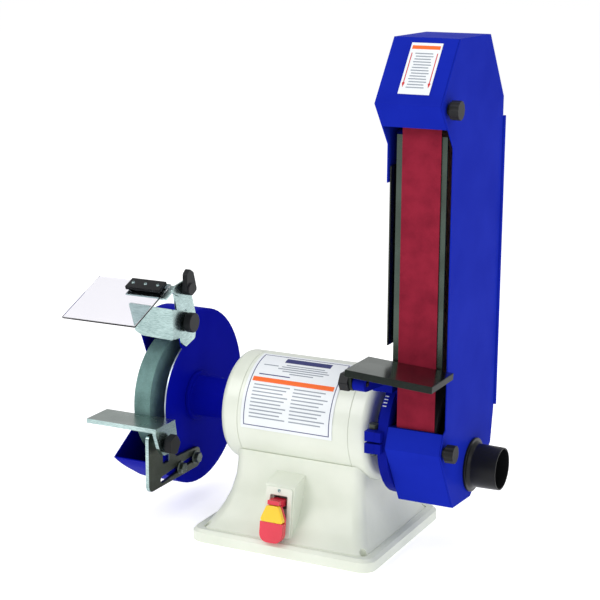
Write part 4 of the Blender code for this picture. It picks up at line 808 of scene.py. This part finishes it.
@dataclass
class Motor:
    """The motor's shell, its end bells, what they hold and the rating label."""

    bench: Workbench
    axis_z: float = SPINDLE_Z
    middle_x: float = -0.0025
    radius: float = 0.0745
    length: float = 0.215
    bell_depth: float = 0.027
    wall: float = 0.004
    hub_radius: float = 0.034
    spigot_radius: float = 0.040
    spigot_end: float = 0.127
    label_top: float = 187.0
    label_sweep: float = 92.0
    label_face: float = 0.0010

    def centre(self) -> Triple:
        """The motor's middle on the spindle axis."""
        return self.middle_x, 0.0, self.axis_z

    def bell(self, boss: float, boss_end: float, side: int) -> list[Pair]:
        """One end bell's section.

        Args:
            boss: The radius of its boss.
            boss_end: How far the boss reaches from the motor's middle.
            side: 1 for the right bell, -1 for the left.

        Returns:
            (radius, distance along X) points round the section.
        """
        rim = self.length / 2 - self.bell_depth + 0.0003
        face = self.length / 2
        inner = self.radius - self.wall
        seat = face - 0.0065
        turn = 0.010
        points = [(self.radius - 0.0006, rim), (self.radius, rim + 0.0006)]
        for step in range(9):
            angle = math.radians(90 * step / 8)
            points.append((self.radius - turn + turn * math.cos(angle),
                           face - turn + turn * math.sin(angle)))
        points += [
            (boss + 0.005, face), (boss + 0.0012, face + 0.0012), (boss, face + 0.005), (boss, boss_end),
            (0.0102, boss_end), (0.0102, seat), (0.0178, seat), (0.0178, seat - 0.011),
            (0.0255, seat - 0.011), (0.0285, face - 0.006), (inner - 0.006, face - 0.006),
            (inner, face - 0.013), (inner, rim),
        ]
        return [(r, side * a) for r, a in points]

    def build(self) -> None:
        """Makes the shell and bells and dresses the rest."""
        half = self.length / 2 - self.bell_depth
        inner = self.radius - self.wall
        shell = [(inner, -half), (self.radius - 0.0006, -half), (self.radius, -half + 0.0006),
                 (self.radius, half - 0.0006), (self.radius - 0.0006, half), (inner, half)]
        self.bench.turned("motor_shell", shell, self.centre(), CREAM, 0.0, 160)
        self.bench.turned("end_bell_left", self.bell(self.hub_radius, self.length / 2 + 0.006, -1),
                          self.centre(), CREAM, 0.0, 160)
        self.bench.turned("end_bell_right", self.bell(self.spigot_radius, self.spigot_end, 1),
                          self.centre(), CREAM, 0.0, 160)
        self.bench.refine_each({
            "stator": 0.0003, "rotor": 0.0003, "start_capacitor": 0.0003, "bearing_left": 0.0003,
            "bearing_right": 0.0003, "spindle_shaft": 0.0004, "cord_inlet": 0.0005, "rating_plate": 0.0,
        })
        self.print_label()

    def print_label(self) -> None:
        """The label's border, header block, rows of plain bars and orange band."""
        low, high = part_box("rating_plate")
        outer = self.radius + self.label_face
        across = high[0] - low[0]
        start = math.radians(self.label_top)
        sweep = math.radians(self.label_sweep)
        length = outer * sweep

        def corner(side: float, up: float, off: float) -> Vector:
            angle = start - up / outer
            radius = outer + off
            return Vector((low[0] + side, radius * math.cos(angle),
                           self.axis_z + radius * math.sin(angle)))

        work = bmesh.new()

        def bar(left: float, right: float, foot: float, top: float, ink: int) -> None:
            pieces = max(1, int((top - foot) / 0.002))
            area = (left * across, right * across, foot * length, top * length)
            slab(work, corner, area, ink, steps=pieces)

        line = 0.0011 / across
        rise = 0.0011 / length
        edge, top = 0.030, 0.035
        bar(edge, 1 - edge, top, top + rise, 0)
        bar(edge, 1 - edge, 1 - top - rise, 1 - top, 0)
        bar(edge, edge + line, top + rise, 1 - top - rise, 0)
        bar(1 - edge - line, 1 - edge, top + rise, 1 - top - rise, 0)
        bar(0.30, 0.80, 0.845, 0.925, 0)
        lines = ((0.34, 0.76), (0.30, 0.80), (0.27, 0.83), (0.33, 0.78), (0.42, 0.68))
        for row, (left, right) in enumerate(lines):
            bar(left, right, 0.795 - 0.032 * row, 0.808 - 0.032 * row, 1)
        bar(0.10, 0.26, 0.765, 0.778, 1)
        bar(0.10, 0.44, 0.625, 0.637, 0)
        bar(0.055, 0.945, 0.535, 0.590, 2)
        for row in range(10):
            foot = 0.490 - 0.040 * row
            bar(0.09, 0.485 - 0.03 * (row % 3), foot, foot + 0.013, 1)
            bar(0.53, 0.915 - 0.04 * ((row + 1) % 3), foot, foot + 0.013, 1)
        self.bench.add("rating_print", mesh_from("rating_print", work), [INK_BLUE, INK_GREY, INK_ORANGE],
                       "frame", (), "label")


@dataclass
class Pedestal:
    """The cast base, its closing plate and the safety switch."""

    bench: Workbench
    repeats: Repeats
    lean: float = 8.0

    def build(self) -> None:
        """Dresses the base and the switch, and adds the panel screw."""
        self.bench.refine_each({
            "base_casting": 0.0012, "base_plate": 0.0004, "switch_plate": 0.0006, "switch_body": 0.0004,
            "switch_paddle": 0.0016, "switch_key": 0.0010,
        })
        low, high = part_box("switch_plate")
        middle = (low[0] + high[0]) / 2
        rise = 0.0042
        back = math.tan(math.radians(self.lean)) * (high[2] - low[2] - rise)
        seat = (middle, low[1] + back - 0.0003, high[2] - rise)
        self.repeats.screws("switch_screw", [seat], (math.radians(90 - self.lean), 0, 0), 0.0024, "frame",
                            "bright_steel", ZINC, 0.0012)


@dataclass
class WheelGuard:
    """The pressed guard, its cover, the hub behind it and the grinding wheel."""

    bench: Workbench
    repeats: Repeats
    axis_z: float = SPINDLE_Z
    wheel_radius: float = 0.0889
    inner_x: float = -0.186
    cut_radius: float = 0.086
    screw_y: float = 0.0708
    screw_rise: float = 0.0042

    def build(self) -> None:
        """Dresses the guard and turns the wheel."""
        self.bench.refine("guard_shell", 0.0007, (GUARD_BLUE, CUT_EDGE_HIGHLIGHT), self.cut_edge_highlight)
        self.bench.refine("guard_cover", 0.0007)
        self.bench.refine("guard_hub", 0.0006)
        self.turn_wheel()
        for node in ("wheel_flange_inner", "wheel_flange_outer", "wheel_nut"):
            self.bench.refine(node, 0.0005)
        seats = [(self.inner_x + 0.0002, self.screw_y, self.axis_z + self.screw_rise)]
        self.repeats.screws("guard_screws", seats, (0, math.radians(90), 0), 0.0030, "frame", "bright_steel")

    def cut_edge_highlight(self, face: bmesh.types.BMFace) -> int:
        """1 on the thin faces round the guard's opening, which take pale metal as a painted highlight of the
        edge catching light, and 0 elsewhere.
        """
        middle = face.calc_center_median()
        reach = math.hypot(middle.y, middle.z - self.axis_z)
        return 1 if abs(reach - self.cut_radius) < 0.0008 and abs(face.normal.x) < 0.3 else 0

    def turn_wheel(self) -> None:
        """The stone with rounded corners."""
        low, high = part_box("grinding_wheel")
        bore, rim = 0.0066, self.wheel_radius
        left, right, turn = low[0], high[0], 0.0012
        half = 0.3 * turn
        section = [(bore, left), (rim - turn, left), (rim - half, left + half), (rim, left + turn),
                   (rim, right - turn), (rim - half, right - half), (rim - turn, right), (bore, right)]
        self.bench.turned("grinding_wheel", section, (0, 0, self.axis_z), STONE, 0.0, 180)


@dataclass
class ToolRest:
    """The tilting rest for the wheel, its slotted bracket, bolts and knob."""

    bench: Workbench

    def build(self) -> None:
        """Dresses the rest's pieces."""
        self.bench.refine("tool_rest", 0.0007, (GROUND, ZINC), upper_face)
        # The bracket is black oxide; its faces that look to the front take bright zinc as a painted highlight
        # of the lit front face.
        self.bench.refine("rest_bracket", 0.0006, (OXIDE, ZINC),
                          lambda face: 1 if face.normal.y < -0.7 else 0)
        self.bench.refine_each({
            "rest_bolt_front": 0.0004, "rest_bolt_rear": 0.0004, "rest_knob": 0.0010,
        })


@dataclass
class EyeShield:
    """The spark guard, the shield's arm and clamp, the clear sheet and the two knobs."""

    bench: Workbench
    repeats: Repeats

    def build(self) -> None:
        """Dresses the shield's pieces and rivets its clamp."""
        self.bench.refine_each({
            "spark_guard": 0.0004, "shield_bracket": 0.0005, "shield_arm": 0.0006,
            "shield_clamp": 0.0005, "eye_shield": 0.0006, "spark_knob": 0.0008, "shield_knob": 0.0010,
        })
        self.rivet_clamp()

    def rivet_clamp(self) -> None:
        """Three rivets along the clamp's upper face."""
        work = self.bench.merged("shield_clamp")
        top = max(work.faces, key=lambda face: face.calc_area() * max(face.normal.z, 0.0))
        normal = top.normal.copy()
        middle = top.calc_center_median()
        work.free()
        low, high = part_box("shield_clamp")
        span = (high[0] - low[0]) * 0.36
        turn = Vector((0, 0, 1)).rotation_difference(normal).to_euler()
        seats = [tuple(middle + Vector((step * span, 0, 0))) for step in (-1, 0, 1)]
        self.repeats.screws("clamp_rivets", seats, tuple(turn), 0.0024, "shield", "bright_steel", ZINC,
                            0.0014)


@dataclass
class BeltArm:
    """The arm casting, the belt with its drum, idler and platen, and the tracking gear."""

    bench: Workbench
    repeats: Repeats
    axis_z: float = SPINDLE_Z
    idler_y: float = -0.030
    idler_z: float = 0.570

    def build(self) -> None:
        """Dresses the arm's own pieces and marks its tilt scale."""
        self.bench.refine_each({
            "arm_casting": 0.0008, "arm_lock_bolt": 0.0003, "platen": 0.0006, "side_plate": 0.0005,
        })
        self.bench.refine("sanding_belt", 0.0, (CLOTH, CLOTH_BACK), self.inside_belt)
        self.bench.refine_each({
            "drive_drum": 0.0008, "drum_nut": 0.0004, "idler_wheel": 0.0005, "idler_bearing": 0.0003,
            "idler_yoke": 0.0005, "tension_spring": 0.0, "tracking_knob": 0.0008,
        })
        self.mark_scale()

    def inside_belt(self, face: bmesh.types.BMFace) -> int:
        """1 on the belt's inner face, which shows its backing, and 0 elsewhere."""
        middle = face.calc_center_median()
        height = min(max(middle.z, self.axis_z), self.idler_z)
        share = (height - self.axis_z) / (self.idler_z - self.axis_z)
        outward = Vector((0.0, middle.y - share * self.idler_y, middle.z - height))
        return 1 if outward.dot(face.normal) < 0 and abs(face.normal.x) < 0.5 else 0

    def mark_scale(self, radius: float = 0.086, count: int = 4, first: float = 138.0, apart: float = 3.0,
                   middle_x: float = 0.1280) -> None:
        """White strokes across the rim of the arm's round flange.

        Args:
            radius: The flange's radius.
            count: How many strokes there are.
            first: The first stroke's angle from the rear, in degrees.
            apart: The angle between two strokes.
            middle_x: The strokes' middle along X.
        """
        points, turns = [], []
        for step in range(count):
            angle = math.radians(first + apart * step)
            points.append((middle_x, radius * math.cos(angle), self.axis_z + radius * math.sin(angle)))
            turns.append((angle - math.pi / 2, 0.0, 0.0))
        self.repeats.run("tilt_scale", points, self.repeats.marks, {
            "Length": 0.0050,
            "Width": 0.0012,
            "Height": 0.0004,
            "Mark Material": self.bench.paint.material(WHITE_MARK),
        }, "arm", "label", turns)


@dataclass
class BeltHousing:
    """The sheet-steel hood, back, lower cover and door, with knobs, hinge, port and label."""

    bench: Workbench
    repeats: Repeats

    def build(self) -> None:
        """Dresses the housing."""
        self.bench.refine_each({
            "hood": 0.0009, "lower_cover": 0.0009, "back_panel": 0.0009, "side_door": 0.0009,
            "door_hinge": 0.0004, "door_knob_upper": 0.0009, "door_knob_lower": 0.0009,
            "dust_port": 0.0008, "hood_label": 0.0,
        })
        self.print_label()

    def print_label(self) -> None:
        """The hood label's header band, side arrows and plain bars."""
        work = self.bench.merged("hood_label")
        front = [item for item in work.faces if item.normal.y < -0.3]
        face = max(front, key=lambda item: item.calc_area())
        normal = face.normal.copy()
        rows = sorted((corner.co.copy() for corner in face.verts), key=lambda point: (point.z, point.x))
        work.free()
        foot = rows[0]
        up = Vector((0.0, rows[-1].y - foot.y, rows[-1].z - foot.z))
        length = up.length
        up.normalize()
        across = rows[-1].x - foot.x

        def corner(side: float, rise: float, off: float) -> Vector:
            return foot + Vector((side, 0, 0)) + up * rise + normal * off

        sheet = bmesh.new()

        def bar(left: float, right: float, below: float, above: float, ink: int) -> None:
            slab(sheet, corner, (left * across, right * across, below * length, above * length), ink)

        bar(0.05, 0.95, 0.875, 0.945, 1)
        for row in range(13):
            base = 0.12 + 0.055 * row
            bar(0.20 + 0.02 * (row % 3), 0.80 - 0.03 * ((row + 1) % 3), base, base + 0.020, 0)
        for side in (0.075, 0.895):
            bar(side, side + 0.03, 0.22, 0.80, 2)
            bar(side - 0.025, side + 0.055, 0.19, 0.22, 2)
            bar(side - 0.010, side + 0.040, 0.16, 0.19, 2)
            bar(side + 0.005, side + 0.025, 0.13, 0.16, 2)
        self.bench.add("hood_print", mesh_from("hood_print", sheet), [INK_GREY, INK_ORANGE, INK_RED],
                       "arm", (), "label")


@dataclass
class SanderTable:
    """The tilting table in front of the belt, with its bracket and knob."""

    bench: Workbench

    def build(self) -> None:
        """Dresses the table so that only its top is polished."""
        self.bench.refine("sander_table", 0.0008, (TABLE_TOP, TABLE_EDGE), upper_face)
        self.bench.refine_each({
            "table_bracket": 0.0008, "table_knob": 0.0009,
        })


# ---------------------------------------------------------------- studio

@dataclass
class Studio:
    """The pale floor, the soft lights and the camera."""

    place: Triple = (0.90499, -1.88066, 0.80434)
    azimuth: float = 26.38
    elevation: float = 13.08
    roll: float = 0.34
    lens: float = 97.4
    floor_reach: float = 14.0
    floor_glow: float = 0.53
    sky_light: float = 0.56
    lights: tuple[tuple[str, Triple, float, float], ...] = (
        ("key", (-1.6, -2.2, 2.4), 1.8, 38),
        ("fill", (2.6, -1.2, 1.5), 1.6, 14),
        ("top", (0.2, 0.6, 3.0), 2.2, 22),
    )

    def aim(self) -> Matrix:
        """The camera's turn and place."""
        a, e, r = (math.radians(v) for v in (self.azimuth, self.elevation, self.roll))
        back = Vector((math.sin(a) * math.cos(e), -math.cos(a) * math.cos(e), math.sin(e)))
        right = Vector((math.cos(a), math.sin(a), 0))
        up = back.cross(right)
        across = right * math.cos(r) + up * math.sin(r)
        rise = up * math.cos(r) - right * math.sin(r)
        turn = Matrix((across, rise, back)).transposed().to_4x4()
        return Matrix.Translation(self.place) @ turn

    def softbox(self, name: str, place: Triple, size: float, power: float) -> None:
        """One large square light that looks at the object's middle.

        Args:
            name: The light's name.
            place: Where it stands.
            size: Its side.
            power: Its power in watts.
        """
        light = bpy.data.lights.new(name, "AREA")
        light.size = size
        light.energy = power
        made = bpy.data.objects.new(name, light)
        made.location = place
        made.rotation_euler = (Vector(place) - Vector((0, 0, 0.3))).to_track_quat("Z", "Y").to_euler()
        bpy.context.scene.collection.objects.link(made)

    def build(self) -> None:
        """Sets up everything round the object."""
        scene = bpy.context.scene
        camera = bpy.data.cameras.new("camera")
        camera.lens = self.lens
        camera.sensor_width = 36
        camera.clip_end = 50
        holder = bpy.data.objects.new("camera", camera)
        holder.matrix_world = self.aim()
        scene.collection.objects.link(holder)
        scene.camera = holder
        floor_work = bmesh.new()
        bmesh.ops.create_grid(floor_work, x_segments=1, y_segments=1, size=self.floor_reach)
        floor = bpy.data.objects.new("floor", mesh_from("floor", floor_work))
        paper = bpy.data.materials.new("floor_paper")
        paper.use_nodes = True
        surface = paper.node_tree.nodes["Principled BSDF"]
        surface.inputs["Base Color"].default_value = (0.84, 0.84, 0.85, 1)
        surface.inputs["Roughness"].default_value = 0.95
        surface.inputs["Specular IOR Level"].default_value = 0.0
        surface.inputs["Emission Color"].default_value = (1, 1, 1, 1)
        surface.inputs["Emission Strength"].default_value = self.floor_glow
        floor.data.materials.append(paper)
        scene.collection.objects.link(floor)
        for name, place, size, power in self.lights:
            self.softbox(name, place, size, power)
        world = bpy.data.worlds.new("studio")
        world.use_nodes = True
        tree = world.node_tree
        sky = tree.nodes["Background"]
        sky.inputs[0].default_value = (1, 1, 1, 1)
        sky.inputs[1].default_value = self.sky_light
        seen = tree.nodes.new("ShaderNodeBackground")
        seen.inputs[0].default_value = (1, 1, 1, 1)
        path = tree.nodes.new("ShaderNodeLightPath")
        pick = tree.nodes.new("ShaderNodeMixShader")
        tree.links.new(path.outputs["Is Camera Ray"], pick.inputs[0])
        tree.links.new(sky.outputs[0], pick.inputs[1])
        tree.links.new(seen.outputs[0], pick.inputs[2])
        tree.links.new(pick.outputs[0], tree.nodes["World Output"].inputs[0])
        scene.world = world
        scene.view_settings.view_transform = "Standard"
        LOG.info("studio: floor, three softboxes, camera")


def main() -> None:
    """Loads the frame, dresses each sub-assembly and sets up the studio."""
    logging.basicConfig(level=logging.INFO, format="%(name)s %(message)s", stream=sys.stdout)
    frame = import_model()
    paint = PaintShop()
    paint.build_dust()
    paint.build_skins()
    bench = Workbench(frame, paint)
    repeats = Repeats(bench)
    Motor(bench).build()
    Pedestal(bench, repeats).build()
    WheelGuard(bench, repeats).build()
    ToolRest(bench).build()
    EyeShield(bench, repeats).build()
    BeltArm(bench, repeats).build()
    BeltHousing(bench, repeats).build()
    SanderTable(bench).build()
    missed = sorted(set(frame["nodes"]) - bench.done)
    LOG.info("nodes left as they are: %s", missed)
    Studio().build()


if __name__ == "__main__":
    main()
